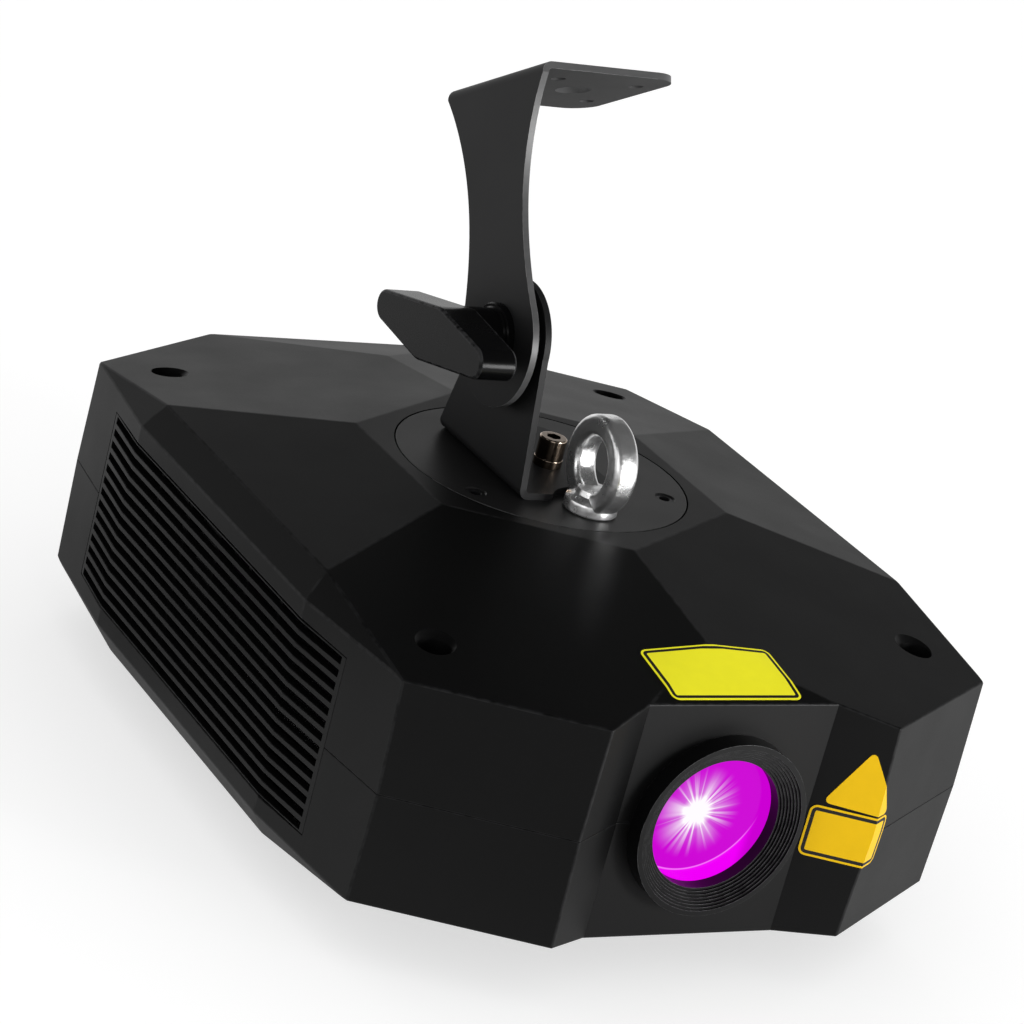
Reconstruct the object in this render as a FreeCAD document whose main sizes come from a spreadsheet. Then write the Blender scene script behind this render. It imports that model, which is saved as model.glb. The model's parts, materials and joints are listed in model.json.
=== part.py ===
"""Laser show projector for a truss clamp.

A faceted case of two moulded shells, with a side vent grille on each cheek, a lens in the front
recess, a connector bay at the back and, on top, a round mounting disc that carries a safety eye
and a clamp bracket with a tilting upper arm.

Millimetres. +Z is up and the lens side is -Y. The origin lies on the surface that the rubber
feet stand on, straight below the clamp screw of the bracket. The case is built level; the upper
arm leans back by its tilt.
"""
import FreeCAD
import Part

import math
import os
import re

Vector = FreeCAD.Vector
Rotation = FreeCAD.Rotation
Placement = FreeCAD.Placement

DRIVING_SIZES = {
    # case
    "foot_height": "4",
    "case_height": "122",
    "case_wall": "3",
    "plateau_apothem": "60.7",
    "rim_drop_share": "0.163247",
    "corner_turn": "60",
    "corner_apothem": "173.65",
    "wall_draft": "2",
    "rim_inset": "7",
    "corner_inset": "7.5",
    "cheek_half_width": "127",
    "cheek_half_flat": "72",
    "cheek_drop_share": "0.168852",
    "ridge_reach": "125",
    "recess_half_width": "38.5",
    "recess_floor_reach": "155.2",
    "recess_wall_angle": "30",
    # fits
    "thread_clearance": "0.05",
    "running_clearance": "0.05",
    "seat_gap": "0.3",
    "tool_overrun": "1",
    "drive_radius": "1.3",
    "drive_depth": "1.2",
    # case screws
    "case_screw_inset": "27.5",
    "case_screw_y": "114",
    "case_screw_radius": "2",
    "case_screw_length": "30",
    "case_screw_head_radius": "3.8",
    "case_screw_head_height": "2.6",
    "case_seat_rise": "12",
    "case_post_radius": "9.5",
    "case_well_radius": "6",
    "case_well_chamfer": "1",
    "lower_post_radius": "6",
    # mounting disc
    "disc_radius": "55",
    "disc_thickness": "4",
    "disc_gap": "0.6",
    "ledge_width": "7",
    "ledge_depth": "6",
    "ledge_inner_radius": "30",
    "disc_screw_circle": "46.6",
    "disc_screw_radius": "2",
    "disc_screw_length": "10",
    "disc_screw_head_radius": "4",
    "disc_screw_head_depth": "2.2",
    # rubber feet
    "foot_radius": "9",
    "foot_x": "44",
    "foot_y": "30",
    "foot_recess_radius": "4.2",
    "foot_recess_depth": "2",
    "foot_screw_radius": "1.5",
    "foot_screw_length": "9",
    "foot_screw_head_radius": "3.2",
    "foot_screw_head_height": "1.5",
    "foot_boss_radius": "6",
    "foot_boss_height": "6",
    # safety eye
    "eye_reach": "36.5",
    "eye_ring_radius": "14",
    "eye_wire_radius": "4",
    "eye_collar_radius": "10",
    "eye_collar_height": "5",
    "eye_neck_radius": "6",
    "eye_shank_radius": "4",
    "eye_nut_radius": "7.5",
    "eye_nut_height": "6.5",
    # bracket sheet
    "sheet_thickness": "2.5",
    "bend_inner_radius": "1.5",
    "arm_end_radius": "25",
    "ear_end_radius": "22",
    "hinge_rise": "50",
    "ear_offset": "26.2",
    "foot_plate_front": "29.5",
    "foot_plate_rear": "34.5",
    "foot_plate_end": "20",
    "foot_plate_corner": "8",
    "eye_notch_radius": "14",
    "arm_length": "94.5",
    "arm_tilt": "28.5",
    "waist_half_width": "18.5",
    "waist_rise": "42",
    "flange_half_width": "33",
    "flange_end": "26",
    "flange_corner": "11",
    "clamp_bore_radius": "6.5",
    "flange_hole_radius": "2.75",
    "flange_hole_offset": "16.5",
    # bracket hardware
    "clamp_reach": "2.5",
    "clamp_screw_radius": "3",
    "clamp_head_radius": "5.2",
    "clamp_head_height": "8",
    "clamp_washer_radius": "5.4",
    "clamp_washer_thickness": "1.6",
    "clamp_nut_radius": "5.7",
    "clamp_nut_height": "5",
    "clamp_screw_spare": "1.2",
    "socket_radius": "2.9",
    "socket_depth": "4",
    "pivot_radius": "4",
    "pivot_head_radius": "9",
    "pivot_head_crown_radius": "6.5",
    "pivot_head_height": "4",
    "friction_washer_radius": "14",
    "friction_washer_thickness": "4.6",
    "knob_half_length": "39.5",
    "knob_tip_radius": "6",
    "knob_half_width": "11.3",
    "knob_corner_shift": "5",
    "knob_neck_radius": "10.5",
    "knob_neck": "13.7",
    "knob_flange_radius": "12.5",
    "knob_flange_height": "3",
    "knob_thickness": "15",
    "knob_bore_depth": "12",
    "knob_turn": "5",
    # lens
    "lens_ring_radius": "33",
    "lens_ring_proud": "7.3",
    "lens_spigot_radius": "28",
    "lens_spigot_length": "11",
    "lens_bore_radius": "24.6",
    "funnel_mouth_radius": "31",
    "funnel_depth": "4.5",
    "glass_setback": "9.5",
    "glass_radius": "26",
    "glass_thickness": "3",
    "gasket_thickness": "1.5",
    "retainer_thickness": "3.5",
    "retainer_bore_radius": "23.6",
    "lens_nut_radius": "33",
    "lens_nut_thickness": "5",
    # vent grilles and fans
    "grille_half_length": "101",
    "grille_margin": "6.8",
    "grille_thickness": "3",
    "slot_height": "2.9",
    "slot_margin": "2.5",
    "rib_depth": "6",
    "rib_width": "2",
    "rib_pitch": "26",
    "fan_size": "60",
    "fan_thickness": "15",
    "fan_bore_radius": "28.5",
    "fan_plate_radius": "14",
    "fan_plate_thickness": "3",
    "fan_strut_width": "4",
    "rotor_hub_radius": "13",
    "rotor_hub_length": "10",
    "rotor_shaft_radius": "1.5",
    "blade_tip_gap": "1",
    "blade_thickness": "1.4",
    "blade_chord": "9",
    "blade_pitch": "40",
    # connector bay
    "bay_half_width": "48",
    "bay_height_share": "0.254098",
    "bay_depth": "18",
    "tray_wall": "1.5",
    "tray_lip_side": "6.5",
    "tray_lip_top": "3",
    "panel_screw_x": "53.2",
    "panel_screw_share": "0.645161",
    "panel_screw_radius": "1.5",
    "panel_screw_length": "8",
    "panel_screw_head_radius": "3",
    "panel_screw_head_depth": "1.5",
    "socket_row_share": "0.451613",
    "upper_row_share": "0.516129",
    "dmx_input_x": "31",
    "dmx_output_x": "3",
    "dmx_flange_width": "26",
    "dmx_flange_thickness": "2",
    "dmx_barrel_radius": "11",
    "dmx_barrel_length": "20",
    "dmx_cavity_radius": "9.3",
    "dmx_cavity_depth": "13",
    "dmx_insert_radius": "7.9",
    "dmx_pin_circle": "4.6",
    "dmx_pin_radius": "1.2",
    "dmx_pin_length": "11",
    "dmx_hole_radius": "1.6",
    "inlet_x": "30",
    "inlet_flange_width": "30.8",
    "inlet_flange_height": "24",
    "inlet_flange_thickness": "2.2",
    "inlet_body_width": "27",
    "inlet_body_height": "19.8",
    "inlet_body_length": "22",
    "inlet_cavity_width": "24",
    "inlet_cavity_height": "16.2",
    "inlet_cavity_depth": "15",
    "inlet_blade_width": "2",
    "inlet_blade_height": "4",
    "inlet_blade_length": "12",
    "inlet_blade_pitch": "7",
    "inlet_earth_rise": "4",
    "interlock_x": "10",
    "interlock_bezel_radius": "8",
    "interlock_bezel_height": "2.5",
    "interlock_body_radius": "6.5",
    "interlock_body_length": "18",
    "interlock_cavity_radius": "5",
    "interlock_cavity_depth": "8",
    "interlock_pin_radius": "0.6",
    "interlock_pin_circle": "2.6",
    "interlock_pin_length": "6.5",
    "key_x": "34",
    "key_bezel_radius": "9",
    "key_bezel_height": "3",
    "key_body_radius": "8",
    "key_body_length": "22",
    "key_plug_radius": "5",
    "key_plug_depth": "12",
    "key_bow_radius": "5.5",
    "key_bow_hole_radius": "2.4",
    "key_bow_thickness": "2.2",
    "key_stem_length": "2.5",
    "key_stem_width": "5",
    "display_x": "27",
    "display_share": "0.709677",
    "display_width": "34",
    "display_height": "12",
    "display_thickness": "1.2",
    "button_share": "0.258065",
    "button_pitch": "8.6",
    "button_radius": "3",
    "button_proud": "2.5",
    "button_flange_radius": "3.9",
    "button_flange_thickness": "1",
    "button_switch_gap": "0.9",
    "button_switch_size": "6",
    # boards
    "control_board_gap": "0.5",
    "control_board_setback": "28",
    "board_thickness": "1.6",
    "standoff_radius": "2.5",
    "control_standoff_inset": "3",
    "scanner_board_rise": "45",
    "scanner_board_margin": "10",
    "chip_size": "14",
    "chip_height": "3",
    # optics
    "plate_rise_share": "0.188525",
    "plate_thickness": "6",
    "plate_side_gap": "39",
    "plate_front": "140",
    "plate_rear": "108",
    "plate_post_inset": "10",
    "plate_post_front": "104",
    "plate_post_rear": "96",
    "plate_post_radius": "6",
    "plate_screw_radius": "2",
    "plate_screw_length": "12",
    "plate_screw_head_radius": "3.5",
    "plate_screw_head_height": "4",
    "beam_rise": "19",
    "beam_line_inset": "26",
    "laser_width": "40",
    "laser_length": "75",
    "laser_height": "38",
    "laser_nozzle_radius": "6",
    "laser_nozzle_length": "6",
    "laser_fin_depth": "4",
    "laser_fin_width": "3",
    "side_laser_start_x": "24",
    "red_laser_y": "10",
    "green_beam_y": "20",
    "blue_beam_y": "66",
    "mirror_width": "16",
    "mirror_height": "14",
    "mirror_thickness": "2",
    "mirror_mount_depth": "8",
    "scan_y": "128",
    "galvo_radius": "7",
    "galvo_length": "24",
    "galvo_setback": "14",
    "galvo_wall": "5",
    "galvo_grip_length": "16",
    "galvo_base_thickness": "5",
    "scan_shaft_radius": "1.5",
    "scan_mirror_length": "12",
    "scan_mirror_width": "10",
    "scan_mirror_thickness": "1.5",
    "heat_sink_x": "8",
    "heat_sink_margin": "8",
    "heat_sink_y": "20",
    "heat_sink_length": "68",
    "heat_sink_height": "40",
    "heat_sink_base": "8",
    "heat_sink_fin": "2.5",
    "supply_length": "106",
    "supply_width": "64",
    "supply_gap": "10",
}

WORKED_OUT = {
    "case_top": "foot_height + case_height",
    "parting": "foot_height + case_height / 2",
    "slope_run": "rim_drop_share * case_height / (corner_apothem - plateau_apothem)",
    "rim_z": "case_top - rim_drop_share * case_height",
    "cheek_drop": "cheek_drop_share * case_height",
    "rim_half_width": "cheek_half_width - rim_inset",
    "corner_half_width": "cheek_half_width - corner_inset",
    "case_screw_x": "cheek_half_width - case_screw_inset",
    "grille_half_height": "case_height / 2 - cheek_drop - grille_margin",
    "draft_run": "(rim_z - parting) * tan(wall_draft * 1 deg)",
    "recess_wall_run": "(corner_apothem + draft_run - cos(corner_turn * 1 deg) * recess_half_width"
                       " - sin(corner_turn * 1 deg) * recess_floor_reach)"
                       " / cos((corner_turn - recess_wall_angle) * 1 deg)",
    "half_depth": "recess_floor_reach + sin(recess_wall_angle * 1 deg) * recess_wall_run",
    "well_mouth_z": "case_top - (cos(corner_turn * 1 deg) * case_screw_x"
                    " + sin(corner_turn * 1 deg) * case_screw_y - plateau_apothem) * slope_run",
    "bend_outer_radius": "bend_inner_radius + sheet_thickness",
    "hinge_z": "case_top + hinge_rise",
    "disc_screw_x": "disc_screw_circle * sqrt(3) / 2",
    "disc_screw_y": "disc_screw_circle / 2",
    "arm_offset": "ear_offset + friction_washer_thickness + sheet_thickness",
    "arm_bend_z": "arm_length - bend_outer_radius",
    "lower_waist_radius": "(waist_rise ^ 2 + waist_half_width ^ 2 - arm_end_radius ^ 2)"
                          " / (2 * (arm_end_radius - waist_half_width))",
    "waist_tangent_rise": "arm_end_radius * waist_rise / (arm_end_radius + lower_waist_radius)",
    "upper_waist_radius": "((flange_half_width - waist_half_width) ^ 2 + (arm_bend_z - waist_rise) ^ 2)"
                          " / (2 * (flange_half_width - waist_half_width))",
    "knob_reach": "knob_half_length - knob_tip_radius",
    "knob_waist": "knob_half_width - (knob_half_width - knob_tip_radius)"
                  " * 2 * knob_corner_shift / (knob_reach + knob_corner_shift)",
    "lens_front": "recess_floor_reach + lens_ring_proud",
    "glass_front": "lens_front - glass_setback",
    "fan_x": "cheek_half_width - grille_thickness - rib_depth - fan_thickness / 2",
    "bay_floor": "half_depth - bay_depth",
    "bay_half_height": "bay_height_share * case_height",
    "panel_screw_z": "panel_screw_share * bay_half_height",
    "socket_row_drop": "socket_row_share * bay_half_height",
    "upper_row_rise": "upper_row_share * bay_half_height",
    "display_rise": "display_share * bay_half_height",
    "button_rise": "button_share * bay_half_height",
    "dmx_flange_height": "bay_half_height",
    "control_board_half_width": "bay_half_width - control_board_gap",
    "control_board_half_height": "bay_half_height - control_board_gap",
    "control_standoff_x": "control_board_half_width - control_standoff_inset",
    "control_standoff_z": "control_board_half_height - control_standoff_inset",
    "plate_half_width": "cheek_half_width - plate_side_gap",
    "plate_post_x": "plate_half_width - plate_post_inset",
    "beam_line_x": "plate_half_width - beam_line_inset",
    "heat_sink_width": "plate_half_width - heat_sink_x - heat_sink_margin",
    "plate_rise": "plate_rise_share * case_height",
    "supply_height": "plate_rise - supply_gap",
    "plate_top": "foot_height + plate_rise + plate_thickness",
    "plate_bottom": "foot_height + plate_rise",
    "beam_z": "plate_top + beam_rise",
}

HEXAGON_SIDES = 6
GRILLE_SLOT_COUNT = 14
FUNNEL_STEP_COUNT = 7
BLADE_COUNT = 7
LASER_FIN_COUNT = 6
HEAT_SINK_FIN_COUNT = 9
BUTTON_COUNT = 4

CORNERS = [(1, 1), (1, -1), (-1, 1), (-1, -1)]
SIDES = {"right": 1, "left": -1}
AXIS_TURN = {
    "X": Rotation(Vector(0, 1, 0), 90),
    "Y": Rotation(Vector(1, 0, 0), -90),
    "Z": Rotation(),
}

doc = FreeCAD.newDocument("laser_show_projector")
sizes = doc.addObject("Spreadsheet::Sheet", "sizes")
places = doc.addObject("Spreadsheet::Sheet", "places")
nodes = []


def bound(formula, inside_places=False):
    """The formula with each named size written as a cell of the sheet that holds it."""

    def cell(match):
        word = match.group()
        if word in DRIVING_SIZES:
            return "sizes." + word
        if word in WORKED_OUT and not inside_places:
            return "places." + word
        return word

    return re.sub(r"[a-z][a-z_0-9]*", cell, formula)


def fill(sheet, cells):
    """Write each name and its content on one row, and give the content the name as its alias."""
    for row, (alias, content) in enumerate(cells.items(), start=1):
        sheet.set("A%d" % row, alias)
        sheet.set("B%d" % row, content)
        sheet.setAlias("B%d" % row, alias)
    doc.recompute()


def value(alias):
    """The number that a named size stands for."""
    sheet = sizes if alias in DRIVING_SIZES else places
    return float(getattr(sheet, alias))


def place(piece, at, turn):
    """Turn a piece and bind its place to the sheets."""
    piece.Placement = Placement(Vector(), turn)
    for axis, formula in zip("xyz", at):
        piece.setExpression("Placement.Base." + axis, bound(formula))
    return piece


def bind(piece, formulas):
    """Bind properties of a piece to the sheets."""
    for name, formula in formulas.items():
        piece.setExpression(name, bound(formula))


def block(name, size, centre):
    """A box about its centre."""
    piece = doc.addObject("Part::Box", name)
    bind(piece, dict(zip(("Length", "Width", "Height"), size)))
    corner = ["(%s) - (%s) / 2" % pair for pair in zip(centre, size)]
    return place(piece, corner, Rotation())


def turned_block(name, size, centre, degrees):
    """A box about its centre, turned about the vertical."""
    length, width, height = size
    shift_x = "((%s) * cos(%d deg) - (%s) * sin(%d deg)) / 2" % (length, degrees, width, degrees)
    shift_y = "((%s) * sin(%d deg) + (%s) * cos(%d deg)) / 2" % (length, degrees, width, degrees)
    piece = block(name, size, centre)
    corner = ["(%s) - (%s)" % pair for pair in zip(centre, (shift_x, shift_y, "(%s) / 2" % height))]
    return place(piece, corner, Rotation(Vector(0, 0, 1), degrees))


def rod(name, radius, length, start, axis="Z"):
    """A cylinder from a start point along one axis."""
    piece = doc.addObject("Part::Cylinder", name)
    bind(piece, {"Radius": radius, "Height": length})
    return place(piece, start, AXIS_TURN[axis])


def along(at, axis, shift):
    """A place moved along one axis."""
    return tuple("(%s) + (%s)" % (formula, shift) if name == axis else formula
                 for name, formula in zip("XYZ", at))


def drum(name, radius, length, centre, axis):
    """A cylinder about its centre."""
    return rod(name, radius, length, along(centre, axis, "-(%s) / 2" % length), axis)


def frustum(name, radius_from, radius_to, length, start, axis="Z"):
    """A cone between two radii, from a start point along one axis."""
    piece = doc.addObject("Part::Cone", name)
    bind(piece, {"Radius1": radius_from, "Radius2": radius_to, "Height": length})
    return place(piece, start, AXIS_TURN[axis])


def hexagon(name, radius, length, start, axis="Z"):
    """A hexagonal prism of a corner radius, from a start point along one axis."""
    piece = doc.addObject("Part::Prism", name)
    piece.Polygon = HEXAGON_SIDES
    bind(piece, {"Circumradius": radius, "Height": length})
    return place(piece, start, AXIS_TURN[axis])


def taper(name, span_from, span_to, length, thickness, start, turn):
    """A flat plate along its own Y whose two edges, along its own X, change evenly."""
    piece = doc.addObject("Part::Wedge", name)
    bind(piece, {
        "Ymin": "0",
        "Ymax": length,
        "Xmin": span_from[0],
        "Xmax": span_from[1],
        "X2min": span_to[0],
        "X2max": span_to[1],
        "Zmin": "0",
        "Zmax": thickness,
        "Z2min": "0",
        "Z2max": thickness,
    })
    return place(piece, start, turn)


def fuse(name, *pieces):
    """Pieces joined into one."""
    piece = doc.addObject("Part::MultiFuse", name)
    piece.Shapes = list(pieces)
    piece.Refine = True
    return piece


def cut(name, base, *tools):
    """A piece with one or more tools taken away."""
    piece = doc.addObject("Part::Cut", name)
    piece.Base = base
    piece.Tool = tools[0] if len(tools) == 1 else fuse(name + "_tools", *tools)
    piece.Refine = True
    return piece


def common(name, base, tool):
    """What two pieces share."""
    piece = doc.addObject("Part::Common", name)
    piece.Base = base
    piece.Tool = tool
    piece.Refine = True
    return piece


def group(name, pieces):
    """Alike pieces that stay separate solids."""
    piece = doc.addObject("Part::Compound", name)
    piece.Links = list(pieces)
    return piece


def feature(name, shape):
    """A worked-out shape as an object of the document."""
    piece = doc.addObject("Part::Feature", name)
    piece.Shape = shape
    return piece


def node(label, piece):
    """Name a finished sub-part."""
    piece.Label = label
    nodes.append(piece)
    return piece


def ring(name, outer_radius, inner_radius, length, start, axis):
    """A flat or long ring from a start point along one axis."""
    outer = rod(name + "_outside", outer_radius, length, start, axis)
    inner = rod(name + "_inside", inner_radius, length, start, axis)
    return cut(name, outer, inner)


def countersunk_screw(name, screw, head_face, axis):
    """A countersunk screw whose head face looks along the axis."""
    radius = screw + "_radius"
    length = screw + "_length"
    depth = screw + "_head_depth"
    shank = rod(name + "_shank", radius, "%s - %s" % (length, depth), along(head_face, axis, "-" + length),
                axis)
    head = frustum(name + "_head", radius, screw + "_head_radius", depth,
                   along(head_face, axis, "-" + depth), axis)
    drive = hexagon(name + "_drive", "drive_radius", "drive_depth", along(head_face, axis, "-drive_depth"),
                    axis)
    return cut(name, fuse(name + "_solid", shank, head), drive)


def countersunk_hole(name, screw, head_face, axis):
    """The hole that a countersunk screw fits: its shank with thread clearance, and its head."""
    depth = screw + "_head_depth"
    shank = rod(name + "_shank", screw + "_radius + thread_clearance", screw + "_length",
                along(head_face, axis, "-%s_length" % screw), axis)
    head = frustum(name + "_head", screw + "_radius + thread_clearance",
                   screw + "_head_radius + thread_clearance",
                   depth, along(head_face, axis, "-" + depth), axis)
    return fuse(name, shank, head)


def corner_reach(x, y):
    """How far out a point lies along the direction of the nearest corner wall."""
    turn = math.radians(value("corner_turn"))
    return math.cos(turn) * abs(x) + math.sin(turn) * abs(y)


def on_corner_facet(x, y):
    """The point of the nearest corner facet above a plan position."""
    fall = corner_reach(x, y) - value("plateau_apothem")
    return Vector(x, y, value("case_top") - fall * value("slope_run"))


def rim_corner_y():
    """How far out along Y the corner wall meets the end of the cheek."""
    turn = math.radians(value("corner_turn"))
    return (value("corner_apothem") - math.cos(turn) * value("corner_half_width")) / math.sin(turn)


def upper_half_planes():
    """Outward normal and one point of every plane that bounds the upper half of the case."""
    top = value("case_top")
    turn = value("corner_turn")
    slope = math.atan(value("slope_run"))
    draft = math.radians(value("wall_draft"))
    planes = [(Vector(0, 0, 1), Vector(0, 0, top))]
    for k in range(HEXAGON_SIDES):
        outward = Vector(math.cos(math.radians(k * turn)), math.sin(math.radians(k * turn)), 0)
        facet = outward * math.sin(slope) + Vector(0, 0, math.cos(slope))
        planes.append((facet, outward * value("plateau_apothem") + Vector(0, 0, top)))
        if k % (HEXAGON_SIDES // 2):
            wall = outward * math.cos(draft) + Vector(0, 0, math.sin(draft))
            planes.append((wall, outward * value("corner_apothem") + Vector(0, 0, value("rim_z"))))

    for side in SIDES.values():
        rim_x = side * value("rim_half_width")
        cheek_x = side * value("cheek_half_width")
        rim_y = abs(rim_x) * math.tan(math.radians(turn / 2))
        planes.append((Vector(side, 0, 0), Vector(cheek_x, 0, 0)))
        for end in (1, -1):
            rim = on_corner_facet(rim_x, end * rim_y)
            corner = on_corner_facet(side * value("corner_half_width"), end * rim_corner_y())
            cheek = Vector(cheek_x, end * value("cheek_half_flat"), top - value("cheek_drop"))
            planes.append(plane_through(rim, corner, cheek))
            planes.append(plane_through(cheek, corner, cheek + Vector(0, 0, 1)))
            planes.append(plane_through(rim, cheek, rim + Vector(0, 1, 0)))

    depth = value("half_depth")
    across = math.radians(turn)
    rear_x = (value("corner_apothem") - math.sin(across) * depth) / math.cos(across)
    front_corner = (value("recess_half_width"), -value("recess_floor_reach"))
    for end, (x, y) in ((-1, front_corner), (1, (rear_x, depth))):
        crest = on_corner_facet(0, end * value("ridge_reach"))
        planes.append(plane_through(crest, on_corner_facet(x, y), on_corner_facet(-x, y)))
    planes.append((Vector(0, 1, 0), Vector(0, depth, 0)))
    planes.append((Vector(0, -1, 0), Vector(0, -depth - value("case_wall"), 0)))
    return planes


def plane_through(first, second, third):
    """The plane through three points, with its normal away from the middle of the case."""
    normal = (second - first).cross(third - first)
    normal.normalize()
    middle = Vector(0, 0, value("parting"))
    if normal.dot(first - middle) < 0:
        normal = normal * -1
    return normal, first


def faceted_half(inset):
    """The upper half of the case, with every bounding plane moved inwards by the inset."""
    reach = 2 * value("corner_apothem")
    solid = Part.makeBox(2 * reach, 2 * reach, value("case_height"),
                         Vector(-reach, -reach, value("parting")))
    for normal, point in upper_half_planes():
        beyond = Part.makeBox(4 * reach, 4 * reach, 2 * reach, Vector(-2 * reach, -2 * reach, 0))
        beyond.Placement = Placement(point - normal * inset, Rotation(Vector(0, 0, 1), normal))
        solid = solid.cut(beyond)
    return solid


def recess_prism(grow):
    """The front recess as a prism through the whole height, grown sideways by a wall."""
    angle = math.radians(value("recess_wall_angle"))
    corner = Vector(value("recess_half_width"), -value("recess_floor_reach"), 0)
    mouth = corner + Vector(math.cos(angle), -math.sin(angle), 0) * 2 * value("recess_wall_run")
    outline = [Vector(-mouth.x, mouth.y, 0), Vector(-corner.x, corner.y, 0), corner, mouth]
    face = Part.Face(Part.makePolygon(outline + outline[:1]))
    if grow:
        face = face.makeOffset2D(grow, join=2)
    return face.extrude(Vector(0, 0, 2 * value("case_top")))


def half_wall():
    """The moulded wall of the upper half, with the recess let into its front."""
    cavity = faceted_half(value("case_wall")).cut(recess_prism(value("case_wall")))
    return faceted_half(0).cut(recess_prism(0)).cut(cavity)


def shared_openings(half, row):
    """Tools that both shells are cut with: vent windows, lens hole, connector window, panel screws."""
    tools = []
    for side, sign in SIDES.items():
        window = ("4 * grille_thickness + 2 * rib_depth", "2 * grille_half_length",
                  "2 * grille_half_height")
        tools.append(block("%s_%s_vent" % (half, side), window,
                           ("%d * cheek_half_width" % sign, "0", "parting")))
        tools.append(countersunk_hole("%s_%s_panel_hole" % (half, side), "panel_screw",
                                      ("%d * panel_screw_x" % sign, "half_depth",
                                       "parting + %d * panel_screw_z" % row),
                                      "Y"))
    tools.append(drum(half + "_lens_hole", "lens_spigot_radius + seat_gap", "4 * case_wall",
                      ("0", "-recess_floor_reach", "parting"), "Y"))
    tools.append(block(half + "_bay_window",
                       ("2 * (bay_half_width + tray_wall + seat_gap)", "4 * case_wall",
                        "2 * (bay_half_height + tray_wall + seat_gap)"),
                       ("0", "half_depth", "parting")))
    return tools


def case_screw_places():
    """Name and plan position of each case screw."""
    return [("case_screw_%d" % k, "%d * case_screw_x" % i, "%d * case_screw_y" % j)
            for k, (i, j) in enumerate(CORNERS)]


def disc_screw_places():
    """Name and plan position of each screw of the mounting disc."""
    return [("disc_screw_left", "-disc_screw_x", "-disc_screw_y"),
            ("disc_screw_right", "disc_screw_x", "-disc_screw_y"),
            ("disc_screw_rear", "0", "disc_screw_circle")]


def build_upper_shell():
    """Upper moulding: facets, screw wells and the ledge that the mounting disc sits on."""
    outer = feature("upper_outer", faceted_half(0))
    ledge_bottom = "case_top - disc_thickness - ledge_depth"
    ledge = rod("ledge_rod", "disc_radius + ledge_width", "disc_thickness + ledge_depth",
                ("0", "0", ledge_bottom))
    joined = [feature("upper_wall", half_wall()), common("disc_ledge", outer, ledge)]
    tools = shared_openings("upper", 1)
    tools.append(rod("disc_seat", "disc_radius + disc_gap", "disc_thickness + tool_overrun",
                     ("0", "0", "case_top - disc_thickness")))
    tools.append(rod("ledge_opening", "ledge_inner_radius", "case_height / 4",
                     ("0", "0", "case_top - case_height / 4")))
    tools.append(rod("eye_shank_hole", "eye_shank_radius + thread_clearance",
                     "disc_thickness + ledge_depth",
                     ("0", "-eye_reach", ledge_bottom)))
    for name, x, y in disc_screw_places():
        tools.append(rod(name + "_pilot", "disc_screw_radius + thread_clearance",
                         "disc_thickness + ledge_depth",
                         (x, y, ledge_bottom)))
    for name, x, y in case_screw_places():
        post = rod(name + "_post", "case_post_radius", "case_height / 2", (x, y, "parting"))
        joined.append(common(name + "_upper_post", outer, post))
        tools.append(rod(name + "_well", "case_well_radius", "case_height / 2",
                         (x, y, "parting + case_seat_rise")))
        tools.append(rod(name + "_way", "case_screw_radius + thread_clearance", "case_height / 4",
                         (x, y, "parting")))
        tools.append(frustum(name + "_mouth", "case_well_radius",
                             "case_well_radius + 3 * case_well_chamfer",
                             "3 * case_well_chamfer", (x, y, "well_mouth_z - case_well_chamfer")))
    node("upper_shell", cut("upper_shell_cut", fuse("upper_shell_solid", *joined), *tools))


def build_lower_shell():
    """Lower moulding: mirrored facets, screw posts, posts for the optical plate, bosses for the feet."""
    middle = Vector(0, 0, value("parting"))
    outer = feature("lower_outer", faceted_half(0).mirror(middle, Vector(0, 0, 1)))
    joined = [feature("lower_wall", half_wall().mirror(middle, Vector(0, 0, 1)))]
    tools = shared_openings("lower", -1)
    for name, x, y in case_screw_places():
        post = rod(name + "_base", "lower_post_radius", "case_height / 2", (x, y, "foot_height"))
        joined.append(common(name + "_lower_post", outer, post))
        grip = "case_screw_length - case_seat_rise + tool_overrun"
        tools.append(rod(name + "_pilot", "case_screw_radius + thread_clearance", grip,
                         (x, y, "parting - (%s)" % grip)))
    for name, x, y in plate_post_places():
        post = rod(name + "_rod", "plate_post_radius", "plate_rise", (x, y, "foot_height"))
        joined.append(common(name, outer, post))
        grip = "plate_screw_length - plate_thickness + tool_overrun"
        tools.append(rod(name + "_pilot", "plate_screw_radius + thread_clearance", grip,
                         (x, y, "plate_bottom - (%s)" % grip)))
    for name, x, y in foot_places():
        joined.append(rod(name + "_boss", "foot_boss_radius", "case_wall + foot_boss_height",
                          (x, y, "foot_height")))
        tools.append(rod(name + "_pilot", "foot_screw_radius + thread_clearance", "foot_screw_length",
                         (x, y, "foot_height")))
    node("lower_shell", cut("lower_shell_cut", fuse("lower_shell_solid", *joined), *tools))


def build_case_screws():
    """Pan head screws at the bottom of the wells, which hold the shells together."""
    screws = []
    for name, x, y in case_screw_places():
        seat = "parting + case_seat_rise"
        shank = rod(name + "_shank", "case_screw_radius", "case_screw_length",
                    (x, y, seat + " - case_screw_length"))
        head = rod(name + "_head", "case_screw_head_radius", "case_screw_head_height", (x, y, seat))
        drive = hexagon(name + "_drive", "drive_radius", "drive_depth",
                        (x, y, seat + " + case_screw_head_height - drive_depth"))
        screws.append(cut(name, fuse(name + "_solid", shank, head), drive))
    node("case_screws", group("case_screw_group", screws))


def foot_places():
    """Name and plan position of each rubber foot."""
    return [("foot_%d" % k, "%d * foot_x" % i, "%d * foot_y" % j) for k, (i, j) in enumerate(CORNERS)]


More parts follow.
